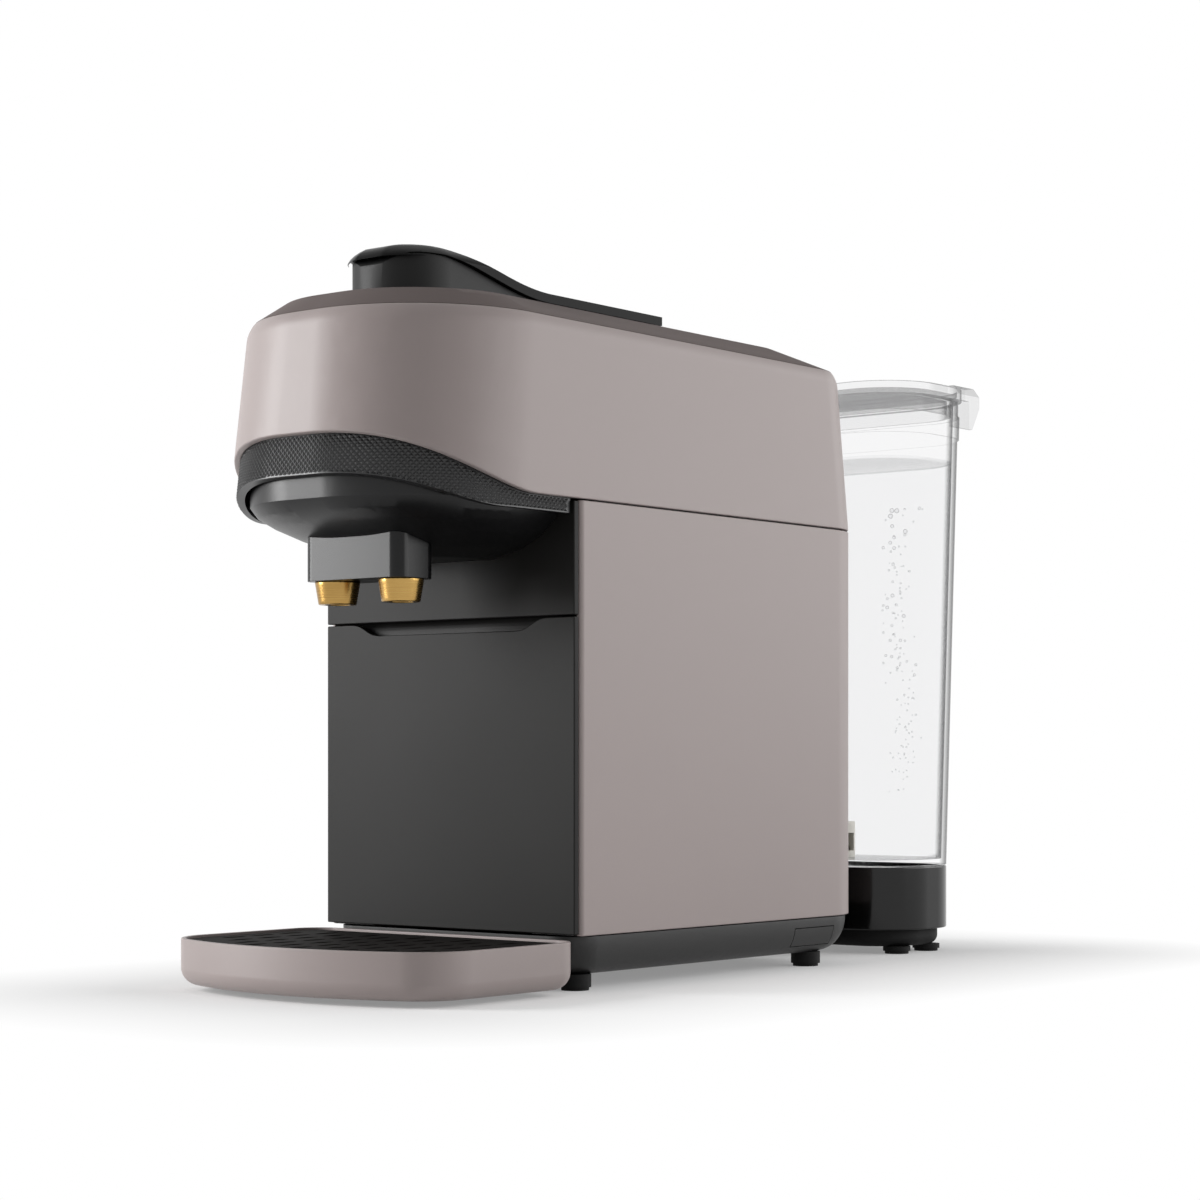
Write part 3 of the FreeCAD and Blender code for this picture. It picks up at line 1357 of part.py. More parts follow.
def base_screws():
    z = base_underside_z + screw_head_height + 0.4
    return Part.makeCompound([screw(x, y, z, base_top_z + 2.6 - z, (0, 0, 1))
                              for x, y in base_screw_places])


def cage_screws():
    return Part.makeCompound([screw(x, y, shelf_z + 3, 3 + shelf_thickness, (0, 0, -1))
                              for x, y in cage_screw_places])


def panel_screws():
    return Part.makeCompound([screw(x, body_rear_y - screw_head_height, z, 4.0, (0, -1, 0))
                              for x, z in panel_screw_places])


def pieces():
    """Every sub-part by name."""
    yield "base_pan", base_pan()
    cover = base_port_cover()
    yield "base_port_cover_right", cover
    yield "base_port_cover_left", mirrored(cover)
    yield "body_feet", feet(body_foot_places, base_underside_z)
    yield "dock_feet", feet(dock_foot_places, platform_bottom_z)
    yield "lower_shell", lower_shell()
    yield "rear_panel", rear_panel()
    yield "cord_gland", cord_gland()
    yield "upper_shell", upper_shell()
    yield "top_cover", top_cover()
    yield "knurled_band", knurled_band()
    yield "chin_bowl", chin_bowl()
    yield "spout_block", spout_block()
    yield "nozzle_left", nozzle(-1)
    yield "nozzle_right", nozzle(1)
    yield "outlet_funnel", outlet_funnel()
    yield "front_panel_upper", front_panel_upper()
    yield "drawer_front", drawer_front()
    yield "capsule_bin", capsule_bin()
    yield "chassis", chassis()
    yield "brew_cage", brew_cage()
    yield "injector", injector()
    yield "brew_carriage", brew_carriage()
    yield "capsule_chute", capsule_chute()
    yield "lever_cover", lever_cover()
    yield "lever_skirt", lever_skirt()
    yield "lever_shaft", lever_shaft()
    yield "lever_gear_right", lever_gear(gear_x)
    yield "lever_gear_left", lever_gear(-gear_x)
    yield "hinge_bracket", hinge_bracket()
    yield "button_plate", button_plate()
    for index in range(3):
        yield "button_%d" % (index + 1), button(index)
    yield "button_board", button_board()
    yield "thermoblock", thermoblock()
    yield "pump", pump()
    yield "pump_mount_lower", pump_mount(pump_bottom_z + 16)
    yield "pump_mount_upper", pump_mount(pump_bottom_z + pump_length - 26)
    yield "flow_meter", flow_meter()
    yield "hose_tank", hose_tank()
    yield "hose_flow_meter", hose_flow()
    yield "hose_pump", hose_pump()
    yield "hose_heater", hose_heater()
    yield "control_board", control_board()
    yield "dock_platform", dock_platform()
    yield "tank_dock", tank_dock()
    yield "dock_spigot", dock_spigot()
    yield "water_tank", water_tank()
    yield "tank_valve", tank_valve()
    yield "valve_cage", valve_cage()
    yield "tank_lid", tank_lid()
    yield "lid_hinge_pin", lid_hinge_pin()
    yield "drip_tray", drip_tray()
    yield "drip_grid", drip_grid()
    yield "base_screws", base_screws()
    yield "cage_screws", cage_screws()
    yield "panel_screws", panel_screws()


os.makedirs("parts", exist_ok=True)
for name, shape in pieces():
    box_of = shape.BoundBox
    print("%-22s valid %s solids %d volume %.0f  x %.1f %.1f  y %.1f %.1f  z %.1f %.1f" % (
        name, shape.isValid(), len(shape.Solids), shape.Volume, box_of.XMin, box_of.XMax, box_of.YMin,
                                                                                           box_of.YMax,
        box_of.ZMin, box_of.ZMax))
    shape.exportStep("parts/%s.step" % name)
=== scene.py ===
import json
import math
import random

import bmesh
import bpy
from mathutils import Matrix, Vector


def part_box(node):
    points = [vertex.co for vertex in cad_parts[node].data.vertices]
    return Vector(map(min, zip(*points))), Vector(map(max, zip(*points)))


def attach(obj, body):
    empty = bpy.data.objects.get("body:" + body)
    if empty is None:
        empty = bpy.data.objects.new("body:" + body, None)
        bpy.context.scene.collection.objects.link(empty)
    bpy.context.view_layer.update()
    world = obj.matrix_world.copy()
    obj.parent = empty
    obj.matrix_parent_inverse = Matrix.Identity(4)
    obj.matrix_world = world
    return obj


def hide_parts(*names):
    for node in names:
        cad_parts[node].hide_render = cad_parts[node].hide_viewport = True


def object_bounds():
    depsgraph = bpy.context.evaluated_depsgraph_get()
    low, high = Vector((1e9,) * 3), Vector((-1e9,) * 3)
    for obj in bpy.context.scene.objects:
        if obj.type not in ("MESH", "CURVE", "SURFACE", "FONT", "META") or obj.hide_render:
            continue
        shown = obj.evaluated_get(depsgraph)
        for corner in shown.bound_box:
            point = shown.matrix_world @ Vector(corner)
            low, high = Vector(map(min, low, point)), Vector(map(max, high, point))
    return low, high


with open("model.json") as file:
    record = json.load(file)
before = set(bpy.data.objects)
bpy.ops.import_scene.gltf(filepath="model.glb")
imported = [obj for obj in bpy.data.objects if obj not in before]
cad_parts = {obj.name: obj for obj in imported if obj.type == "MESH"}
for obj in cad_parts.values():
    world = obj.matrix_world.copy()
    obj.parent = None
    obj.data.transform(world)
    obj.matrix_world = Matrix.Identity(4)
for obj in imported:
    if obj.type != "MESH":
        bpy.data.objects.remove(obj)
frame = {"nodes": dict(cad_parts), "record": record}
cad_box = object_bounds()
nodes = frame["nodes"]
slot_of = {p["node"]: p["material_slot"] for p in frame["record"]["subparts"]}
body_of = {n: b for b, members in frame["record"]["behaviour"]["bodies"].items() for n in members}

MM = 0.001
merge_distance = 0.001 * MM
front_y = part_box("drawer_front")[0][1]

# The head, as the solids have it
head_half = 63.5 * MM
head_front = front_y - 83.0 * MM
head_corner = 55.5 * MM
head_lean_side = 2.0 * MM
head_lean_front = 7.5 * MM
seam_z = 180.0 * MM
bevel_z = 245.6 * MM

# Lower edges of the shell and of the band: waves that climb towards the front, placed from front_y
shell_edge_z = seam_z + 0.1 * MM
shell_edge_rise = 22.3 * MM
shell_edge_start = -20.0 * MM
shell_edge_end = -94.0 * MM
band_edge_z = seam_z - 5.2 * MM
band_edge_rise = 12.3 * MM
band_edge_start = -36.0 * MM
band_edge_end = -90.0 * MM

# Raised diamonds on the band
band_inset = 2.6 * MM
band_middle_z = seam_z + 8.0 * MM
knurl_pitch = 2.15 * MM
knurl_proud = 0.45 * MM
knurl_tip = 0.16
knurl_fill = 0.95
knurl_lift = 0.02 * MM
knurl_least_share = 0.25
knurl_gap_low = 0.5 * MM
knurl_gap_high = 0.3 * MM
knurl_end_y = front_y - 2.2 * MM
knurl_reach = 125.0 * MM
knurl_start_z = 160.0 * MM

# Tank, as the solid has it, and the water in it
tank_foot_z = 38.4 * MM
tank_floor_z = 41.0 * MM
tank_rise = 205.2 * MM
tank_foot_half = 54.6 * MM
tank_flare = 4.2 * MM
tank_front_flare = 2.94 * MM
tank_rear_flare = 3.36 * MM
tank_corner = 26.0 * MM
tank_front_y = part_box("tank_dock")[0][1]
tank_rear_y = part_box("tank_dock")[1][1]
water_inset = 2.35 * MM
water_level_z = 216.0 * MM
water_floor_gap = 0.2 * MM
water_foot_bevel = 1.5 * MM
wetting_rise = 1.2 * MM
wetting_width = 3.0 * MM
wetting_bend_rise = 0.3 * MM
wetting_bend_width = 1.0 * MM
water_crease = math.radians(40.0)

# Column of bubbles in the water
bubble_seed = 7
bubble_count = 150
bubble_low_z = 70.0 * MM
bubble_climb = 128.0 * MM
bubble_x = 38.0 * MM
bubble_sway = 3.0 * MM
bubble_sway_turn = 7.0
bubble_scatter = 1.2 * MM
bubble_scatter_growth = 3.0 * MM
bubble_depth_scatter = 5.0 * MM
bubble_least = 0.30 * MM
bubble_growth = 0.8 * MM
bubble_crowding = 0.8
bubble_smallness = 1.5

# Finger dip over the drawer
dip_rows = 6
dip_half = 52.0 * MM
dip_depth = 4.7 * MM
dip_curve = 1.6 * MM
dip_skin = 0.8 * MM
dip_low_z = 131.2 * MM
dip_high_z = 138.6 * MM

# Cross recesses in the rear panel's screws, shown as flat dark bars: painted shade, not cut hollows
screw_head_radius = 3.0 * MM
recess_length = 3.4 * MM
recess_width = 0.8 * MM
recess_depth = 0.4 * MM
recess_proud = 0.03 * MM

# Width of the broken edges, in millimetres
edge_widths = {
    "lower_shell": 0.5, "upper_shell": 0.5, "drip_tray": 0.4, "drawer_front": 0.4, "front_panel_upper": 0.4,
    "spout_block": 0.7, "lever_cover": 0.7, "lever_skirt": 0.3, "top_cover": 0.4, "nozzle_left": 0.4,
    "nozzle_right": 0.4, "base_pan": 0.4, "tank_dock": 0.6, "water_tank": 0.4, "tank_lid": 0.5,
    "chin_bowl": 0.3,
}
edge_angle = math.radians(32.0)
flat_angle = math.radians(0.05)

# Camera, as solved from the photograph
camera_aside = 0.6846
camera_ahead = 0.7579
camera_height = 0.0865
camera_turn = math.radians(38.83)

# Room light, and the floor's way from the shadow under the object to white
room_light = 0.17
floor_half = 30.0
stand_share_x = 0.9
stand_share_y = 0.95
shadow_reach = 0.12
shadow_white = 0.25


class Tone:
    """One output in a node tree. Arithmetic on it adds Math nodes."""

    def __init__(self, work, socket):
        self.work = work
        self.socket = socket

    def _math(self, operation, a, b):
        return self.work.node("ShaderNodeMath", {"operation": operation}, {0: a, 1: b})

    def __add__(self, other):
        return self._math("ADD", self, other)

    __radd__ = __add__

    def __sub__(self, other):
        return self._math("SUBTRACT", self, other)

    def __rsub__(self, other):
        return self._math("SUBTRACT", other, self)

    def __mul__(self, other):
        return self._math("MULTIPLY", self, other)

    __rmul__ = __mul__


class NodeWork:
    """A shader tree being filled in: node() adds any node, with its settings and its sockets."""

    def __init__(self, tree):
        self.tree = tree

    def node(self, kind, settings=None, inputs=None, out=0):
        made = self.tree.nodes.new(kind)
        for key, value in (settings or {}).items():
            setattr(made, key, value)
        for key, value in (inputs or {}).items():
            self.feed(made.inputs[key], value)
        return Tone(self, made.outputs[out])

    def feed(self, socket, value):
        """Links a tone to a socket, or sets a plain value on it."""
        if isinstance(value, Tone):
            self.tree.links.new(value.socket, socket)
        else:
            socket.default_value = value

    def place(self):
        return self.node("ShaderNodeTexCoord", out="Object")

    def noise(self, scale, detail=2.0, stretch=(1, 1, 1), roughness=0.5):
        """Cloudy pattern 0..1, with its grain drawn out by stretch."""
        drawn = self.node("ShaderNodeMapping", inputs={"Vector": self.place(), "Scale": stretch})
        return self.node("ShaderNodeTexNoise", inputs={"Vector": drawn, "Scale": scale, "Detail": detail,
                                                       "Roughness": roughness})

    def mix(self, amount, a, b):
        return self.node("ShaderNodeMix", {"data_type": "RGBA"}, {0: amount, 6: a, 7: b}, out=2)

    def ramp(self, value, low, high):
        """Value taken from low..high to 0..1."""
        return self.node("ShaderNodeMapRange", inputs={"Value": value, "From Min": low, "From Max": high})

    def bump(self, height, strength, distance):
        return self.node("ShaderNodeBump", out="Normal",
                         inputs={"Height": height, "Strength": strength, "Distance": distance})

    def background_share(self):
        """1 where the background is seen straight, in a gloss or through something clear."""
        straight, glossy, through = (self.node("ShaderNodeLightPath", out=kind) for kind in (
            "Is Camera Ray", "Is Glossy Ray", "Is Transmission Ray"))
        return straight + glossy + through


class Finish(NodeWork):
    """A material being made: shade() sets the main shader's sockets."""

    def __init__(self, name):
        self.material = bpy.data.materials.new(name)
        self.material.use_nodes = True
        super().__init__(self.material.node_tree)
        self.shader = self.tree.nodes["Principled BSDF"]
        self.out = self.tree.nodes["Material Output"]

    def shade(self, **sockets):
        for key, value in sockets.items():
            self.feed(self.shader.inputs[key.replace("_", " ")], value)

    def main(self):
        """The main shader, as one side of a mix."""
        return Tone(self, self.shader.outputs[0])

    def blend(self, share, first, second):
        """Puts a mix on the surface: the first shader where share is 0, the second where it is 1."""
        self.feed(self.out.inputs["Surface"],
                  self.node("ShaderNodeMixShader", inputs={0: share, 1: first, 2: second}))


def rgb(r, g, b):
    """Screen values 0..255 as a linear colour."""
    linear = []
    for v in (r, g, b):
        c = v / 255.0
        linear.append(c / 12.92 if c <= 0.04045 else ((c + 0.055) / 1.055) ** 2.4)
    return (*linear, 1.0)


def scaled(colour, share):
    """A colour made darker or lighter."""
    return (*(min(1.0, c * share) for c in colour[:3]), 1.0)


def moulded(name, colour, roughness, grain=0.10, drift=0.06, shine=0.35, speckle=1400.0, gloss_drift=0.10):
    """Moulded plastic: fine spark-eroded grain, slow drift of shade and of gloss."""
    f = Finish(name)
    fine = f.noise(speckle, detail=3.0)
    slow = f.noise(scale=11.0)
    tint = f.mix(slow * 0.75 + fine * 0.25, scaled(colour, 1 - drift), scaled(colour, 1 + drift))
    f.shade(Base_Color=tint, Roughness=slow * gloss_drift + fine * gloss_drift + (roughness - gloss_drift),
            Normal=f.bump(fine, strength=grain, distance=0.1 * MM), Specular_IOR_Level=shine)
    return f.material


def brushed_brass():
    """Turned brass: fine rings round the axis, slow warm and cool bands."""
    f = Finish("brushed_brass")
    rings = f.noise(scale=260.0, detail=4.0, stretch=(0.15, 0.15, 9.0), roughness=0.7)
    slow = f.noise(scale=60.0)
    tint = f.mix(slow * 0.6 + rings * 0.4, rgb(124, 88, 40), rgb(208, 172, 104))
    f.shade(Base_Color=tint, Metallic=1.0, Roughness=rings * 0.16 + 0.18,
            Normal=f.bump(rings, strength=0.18, distance=0.08 * MM))
    return f.material


def drawn_steel():
    """Steel of screws, pins and shafts, with fine lines along it."""
    f = Finish("screw_steel")
    bright = rgb(200, 200, 202)
    lines = f.noise(scale=420.0, detail=3.0, stretch=(1, 1, 0.08), roughness=0.65)
    f.shade(Base_Color=f.mix(lines, scaled(bright, 0.82), bright), Metallic=1.0,
            Roughness=lines * 0.2 + 0.22, Normal=f.bump(lines, strength=0.12, distance=0.05 * MM))
    return f.material


def cast_metal():
    """Pitted cast aluminium of the water heater."""
    f = Finish("cast_aluminium")
    pits = f.noise(scale=900.0, detail=5.0, roughness=0.7)
    f.shade(Base_Color=f.mix(pits, rgb(150, 150, 152), rgb(205, 205, 207)), Metallic=1.0,
            Roughness=pits * 0.2 + 0.4, Normal=f.bump(pits, strength=0.35, distance=0.2 * MM))
    return f.material


def circuit_board():
    """Green board with lighter tracks."""
    f = Finish("circuit_board")
    tracks = f.node("ShaderNodeTexBrick", {"offset": 0.5},
                    {"Vector": f.place(), "Scale": 130.0, "Mortar Size": 0.03, "Color1": rgb(22, 92, 48),
                     "Color2": rgb(18, 80, 42), "Mortar": rgb(44, 128, 70)})
    f.shade(Base_Color=tracks, Roughness=0.45)
    return f.material


def silicone():
    """Cloudy hose."""
    f = Finish("hose_silicone")
    cloud = f.noise(scale=160.0, detail=3.0)
    f.shade(Base_Color=f.mix(cloud, rgb(205, 204, 198), rgb(232, 231, 226)), Roughness=cloud * 0.1 + 0.38)
    return f.material


def see_through(name, tint, edge, face_share, edge_share, turn):
    """Clear plastic or water: nearly clear face on, greyer over the range in which it turns away."""
    f = Finish(name)
    facing = f.node("ShaderNodeLayerWeight", inputs={"Blend": 0.35}, out="Facing")
    cloud = f.noise(scale=30.0)
    f.shade(Base_Color=f.mix(cloud, edge, scaled(edge, 0.9)), Roughness=0.05, Specular_IOR_Level=0.06)
    clear = f.node("ShaderNodeBsdfTransparent", inputs={"Color": tint}, out="BSDF")
    f.blend(f.ramp(facing, *turn) * (edge_share - face_share) + face_share, clear, f.main())
    return f.material


taupe = moulded("taupe_satin", rgb(158, 147, 145), 0.42, shine=0.30)
# Deck and bevel: the shell's taupe painted darker, which is painted shade on the top surfaces
taupe_painted_shade = moulded("taupe_deck_painted_shade", rgb(110, 101, 99), 0.66, shine=0.05)
panel_black = moulded("panel_black", rgb(18, 17, 16), 0.46, grain=0.14, shine=0.14)
chin_black = moulded("chin_black", rgb(20, 20, 21), 0.34, shine=0.30)
knurl_black = moulded("knurl_black", rgb(32, 32, 33), 0.34, shine=0.48)
gloss_black = moulded("gloss_black", rgb(8, 8, 8), 0.13, grain=0.0, shine=0.36)
lever_black = moulded("lever_gloss", rgb(8, 8, 8), 0.24, grain=0.0, shine=0.06)
spout_black = moulded("spout_black", rgb(16, 16, 17), 0.24, grain=0.03, shine=0.24)
skirt_black = moulded("skirt_black", rgb(16, 16, 16), 0.48, shine=0.20)
base_grey = moulded("base_dark_grey", rgb(46, 46, 46), 0.44, shine=0.30)
rubber_black = moulded("rubber_black", rgb(14, 14, 14), 0.70, grain=0.25, speckle=900.0, shine=0.2)
grid_dark = moulded("grid_dark", rgb(26, 24, 23), 0.72, shine=0.04)
key_black = moulded("key_black", rgb(22, 22, 23), 0.46, shine=0.16)
inner_dark = moulded("inner_moulding", rgb(60, 60, 61), 0.5)
acetal = moulded("gear_acetal", rgb(226, 223, 214), 0.4)
pump_coat = moulded("pump_coating", rgb(112, 113, 116), 0.5)
tank_clear = see_through("tank_clear", tint=(0.992, 0.992, 0.993, 1), edge=rgb(58, 59, 60),
                         face_share=0.012, edge_share=0.90, turn=(0.40, 0.82))
water_clear = see_through("water_clear", tint=(0.985, 0.986, 0.987, 1), edge=rgb(110, 112, 114),
                          face_share=0.012, edge_share=0.55, turn=(0.40, 0.95))
lid_clear = see_through("lid_clear", tint=(0.985, 0.985, 0.986, 1), edge=rgb(46, 47, 48),
                        face_share=0.04, edge_share=0.72, turn=(0.30, 0.88))
bubble_clear = see_through("bubble_clear", tint=(0.97, 0.97, 0.975, 1), edge=rgb(80, 82, 84),
                           face_share=0.03, edge_share=0.85, turn=(0.22, 0.85))

finish_of = {
    # The top slot takes the shell's taupe painted darker as painted shade
    "shell": taupe, "top": taupe_painted_shade, "black_matte": panel_black, "black_gloss": gloss_black,
    "base_grey": base_grey, "spout_grey": spout_black, "brass": brushed_brass(), "clear": tank_clear,
    "rubber": rubber_black, "grid_dark": grid_dark, "buttons": key_black, "inner_plastic": inner_dark,
    "steel": drawn_steel(), "gear": acetal, "heater": cast_metal(), "pump_body": pump_coat,
    "hose": silicone(), "board": circuit_board(),
}
own_finish = {
    "chin_bowl": chin_black, "knurled_band": knurl_black, "lever_skirt": skirt_black,
    "lever_cover": lever_black, "dock_platform": rubber_black, "tank_lid": lid_clear,
    "valve_cage": acetal, "tank_valve": acetal,
}

for name, node in nodes.items():
    for slot in node.material_slots:
        slot.material = own_finish.get(name, finish_of[slot_of[name]])


def added(name, data):
    """A new object in the scene."""
    made = bpy.data.objects.new(name, data)
    bpy.context.scene.collection.objects.link(made)
    return made


def baked(source, name):
    """A plain mesh object holding what source looks like with its modifiers; source is removed."""
    shown = source.evaluated_get(bpy.context.evaluated_depsgraph_get())
    mesh = bpy.data.meshes.new_from_object(shown)
    bpy.data.objects.remove(source)
    return added(name, mesh)


def softened(node, width):
    """The CAD piece with its sharp edges broken, as a moulding's are."""
    mesh = nodes[node].data.copy()
    for old in ("custom_normal", "sharp_edge", "sharp_face"):
        if old in mesh.attributes:
            mesh.attributes.remove(mesh.attributes[old])
    work = bmesh.new()
    work.from_mesh(mesh)
    bmesh.ops.remove_doubles(work, verts=work.verts, dist=merge_distance)
    bmesh.ops.dissolve_limit(work, angle_limit=flat_angle, verts=work.verts, edges=work.edges)
    for face in work.faces:
        face.smooth = True
    work.to_mesh(mesh)
    work.free()
    piece = added(node + "_raw", mesh)
    bevel = piece.modifiers.new("edge", "BEVEL")
    bevel.width = width
    bevel.segments = 2
    bevel.limit_method = "ANGLE"
    bevel.angle_limit = edge_angle
    even = piece.modifiers.new("even", "WEIGHTED_NORMAL")
    even.keep_sharp = False
    made = baked(piece, node + "_moulding")
    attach(made, body_of[node])
    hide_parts(node)


for node, width in edge_widths.items():
    softened(node, width * MM)


def geometry_tree(name, inputs):
    """An empty Geometry Nodes tree with a geometry in, a geometry out, the named inputs and a finish."""
    tree = bpy.data.node_groups.new(name, "GeometryNodeTree")
    tree.interface.new_socket("Geometry", in_out="INPUT", socket_type="NodeSocketGeometry")
    for label in inputs:
        tree.interface.new_socket(label, in_out="INPUT", socket_type="NodeSocketFloat")
    tree.interface.new_socket("Finish", in_out="INPUT", socket_type="NodeSocketMaterial")
    tree.interface.new_socket("Geometry", in_out="OUTPUT", socket_type="NodeSocketGeometry")
    return tree, tree.nodes.new("NodeGroupInput").outputs


def geometry_node(tree, kind, settings=None, feeds=None):
    """A node in a tree, with its settings and what goes into its sockets."""
    made = tree.nodes.new(kind)
    for key, value in (settings or {}).items():
        setattr(made, key, value)
    for key, value in (feeds or {}).items():
        if isinstance(value, bpy.types.NodeSocket):
            tree.links.new(value, made.inputs[key])
        else:
            made.inputs[key].default_value = value
    return made


def tree_end(tree, geometry, finish):
    """Ends a tree: instances are made real and the finish is put on."""
    real = geometry_node(tree, "GeometryNodeRealizeInstances", None, {"Geometry": geometry})
    dressed = geometry_node(tree, "GeometryNodeSetMaterial", None,
                            {"Geometry": real.outputs[0], "Material": finish})
    end = tree.nodes.new("NodeGroupOutput")
    tree.links.new(dressed.outputs[0], end.inputs["Geometry"])
    return tree


def knurl_tree():
    """Raises a low pointed pyramid, closed underneath, on every face it is given."""
    tree, start = geometry_tree("diamond_knurl", ["Proud", "Tip"])
    raised = geometry_node(tree, "GeometryNodeExtrudeMesh", {"mode": "FACES"},
                           {"Mesh": start["Geometry"], "Offset Scale": start["Proud"], "Individual": True})
    pointed = geometry_node(tree, "GeometryNodeScaleElements", {"domain": "FACE"},
                            {"Geometry": raised.outputs["Mesh"], "Selection": raised.outputs["Top"],
                             "Scale": start["Tip"]})
    under = geometry_node(tree, "GeometryNodeFlipFaces", None, {"Mesh": start["Geometry"]})
    both = geometry_node(tree, "GeometryNodeJoinGeometry")
    tree.links.new(pointed.outputs[0], both.inputs[0])
    tree.links.new(under.outputs[0], both.inputs[0])
    closed = geometry_node(tree, "GeometryNodeMergeByDistance", None,
                           {"Geometry": both.outputs[0], "Distance": 2 * merge_distance})
    return tree_end(tree, closed.outputs[0], start["Finish"])


def bubble_tree():
    """Puts a small round bubble, sized by the point's girth, on every point."""
    tree, start = geometry_tree("bubbles", [])
    ball = geometry_node(tree, "GeometryNodeMeshIcoSphere", None, {"Radius": 1.0, "Subdivisions": 3})
    girth = geometry_node(tree, "GeometryNodeInputNamedAttribute", {"data_type": "FLOAT"}, {"Name": "girth"})
    spread = geometry_node(tree, "GeometryNodeInstanceOnPoints", None,
                           {"Points": start["Geometry"], "Instance": ball.outputs["Mesh"],
                            "Scale": girth.outputs["Attribute"]})
    return tree_end(tree, spread.outputs[0], start["Finish"])


# Its crosses carry painted shade where recesses would be hollow
def cross_tree():
    """Puts an upright cross of two flat bars on every point."""
    tree, start = geometry_tree("recess_shade_cross", ["Length", "Width", "Depth"])
    cross = geometry_node(tree, "GeometryNodeJoinGeometry")
    for across, up in (("Length", "Width"), ("Width", "Length")):
        size = geometry_node(tree, "ShaderNodeCombineXYZ", None,
                             {"X": start[across], "Y": start["Depth"], "Z": start[up]})
        bar = geometry_node(tree, "GeometryNodeMeshCube", None, {"Size": size.outputs[0]})
        tree.links.new(bar.outputs["Mesh"], cross.inputs[0])
    spread = geometry_node(tree, "GeometryNodeInstanceOnPoints", None,
                           {"Points": start["Geometry"], "Instance": cross.outputs[0]})
    return tree_end(tree, spread.outputs[0], start["Finish"])


def grown(name, mesh, tree, **values):
    """The mesh put through a tree, as a plain mesh object."""
    source = added(name + "_seed", mesh)
    modifier = source.modifiers.new("grow", "NODES")
    modifier.node_group = tree
    for item in tree.interface.items_tree:
        if item.in_out == "INPUT" and item.name in values:
            modifier[item.identifier] = values[item.name]
    source.update_tag()
    return baked(source, name)


def wave(y, start, end):
    """Cosine step that climbs from 0 at start to 1 at end."""
    share = min(max((start - y) / (start - end), 0.0), 1.0)
    return (1 - math.cos(math.pi * share)) / 2.0


def band_point(along, z, out):
    """A point on the band's face: along it from the middle of the front, at a height, and out from it."""
    share = (z - seam_z) / (bevel_z - seam_z)
    half = head_half - share * head_lean_side - band_inset
    front = head_front + share * head_lean_front + band_inset
    radius = head_corner - band_inset
    flat = half - radius
    corner = radius * math.pi / 2
    side = 1 if along >= 0 else -1
    run = abs(along)
    if run < flat:
        return Vector((along, front - out, z))
    if run < flat + corner:
        turn = (run - flat) / radius
        return Vector((side * (flat + (radius + out) * math.sin(turn)),
                       front + radius - (radius + out) * math.cos(turn), z))
    return Vector((side * (half + out), front + radius + run - flat - corner, z))


def band_edges(along):
    """Lowest and highest height of the pattern at a place along the band."""
    y = band_point(along, band_middle_z, 0.0).y - front_y
    low = band_edge_z + band_edge_rise * wave(y, band_edge_start, band_edge_end)
    high = shell_edge_z + shell_edge_rise * wave(y, shell_edge_start, shell_edge_end)
    return low + knurl_gap_low, high - knurl_gap_high


def clipped(corners, keep):
    """The part of a polygon where keep is positive."""
    kept = []
    for a, b in zip(corners, corners[1:] + corners[:1]):
        ka, kb = keep(a), keep(b)
        if ka >= 0:
            kept.append(a)
        if (ka >= 0) != (kb >= 0):
            share = ka / (ka - kb)
            kept.append((a[0] + (b[0] - a[0]) * share, a[1] + (b[1] - a[1]) * share))
    return kept


def area_of(corners):
    """Area of a polygon, or 0 for less than three corners."""
    if len(corners) < 3:
        return 0.0
    return sum(a[0] * b[1] - a[1] * b[0] for a, b in zip(corners, corners[1:] + corners[:1])) / 2


def band_pattern():
    """Flat diamonds laid over the band's face, clipped to its wavy edges."""
    half_pitch = knurl_pitch / 2
    half = half_pitch * knurl_fill
    points, faces = [], []
    columns = int(knurl_reach / half_pitch)
    for i in range(-columns, columns + 1):
        along = i * half_pitch
        if band_point(along, seam_z, 0.0).y > knurl_end_y:
            continue
        low, high = band_edges(along)
        first = int((low - knurl_start_z) / half_pitch) - 1
        last = int((high - knurl_start_z) / half_pitch) + 1
        for j in range(first, last + 1):
            if (i + j) % 2:
                continue
            z = knurl_start_z + j * half_pitch
            corners = [(along - half, z), (along, z - half), (along + half, z), (along, z + half)]
            corners = clipped(corners, lambda c: c[1] - band_edges(c[0])[0])
            corners = clipped(corners, lambda c: band_edges(c[0])[1] - c[1])
            if area_of(corners) < knurl_least_share * half * half:
                continue
            start = len(points)
            points += [band_point(c[0], c[1], knurl_lift) for c in corners]
            faces.append(range(start, start + len(corners)))
    mesh = bpy.data.meshes.new("band_diamonds")
    mesh.from_pydata(points, [], faces)
    return mesh


knurl = grown("band_knurl", band_pattern(), knurl_tree(), Proud=knurl_proud, Tip=knurl_tip,
              Finish=knurl_black)
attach(knurl, "machine")


def outward(mesh):
    """Merges a mesh's doubled points and turns its faces outwards."""
    work = bmesh.new()
    work.from_mesh(mesh)
    bmesh.ops.remove_doubles(work, verts=work.verts, dist=merge_distance)
    bmesh.ops.recalc_face_normals(work, faces=work.faces)
    work.to_mesh(mesh)
    work.free()


def water_ring(z, inset, corner_steps=10):
    """Outline of the tank's inside at a height: a rounded rectangle seen from above."""
    share = (z - tank_foot_z) / tank_rise
    half = tank_foot_half + share * tank_flare - inset
    front = tank_front_y - share * tank_front_flare + inset
    rear = tank_rear_y + share * tank_rear_flare - inset
    radius = tank_corner - inset
    ring = []
    for x, y, turn in ((half - radius, rear - radius, 0), (radius - half, rear - radius, 90),
                       (radius - half, front + radius, 180), (half - radius, front + radius, 270)):
        for k in range(corner_steps + 1):
            angle = math.radians(turn + 90 * k / corner_steps)
            ring.append((x + radius * math.cos(angle), y + radius * math.sin(angle), z))
    return ring


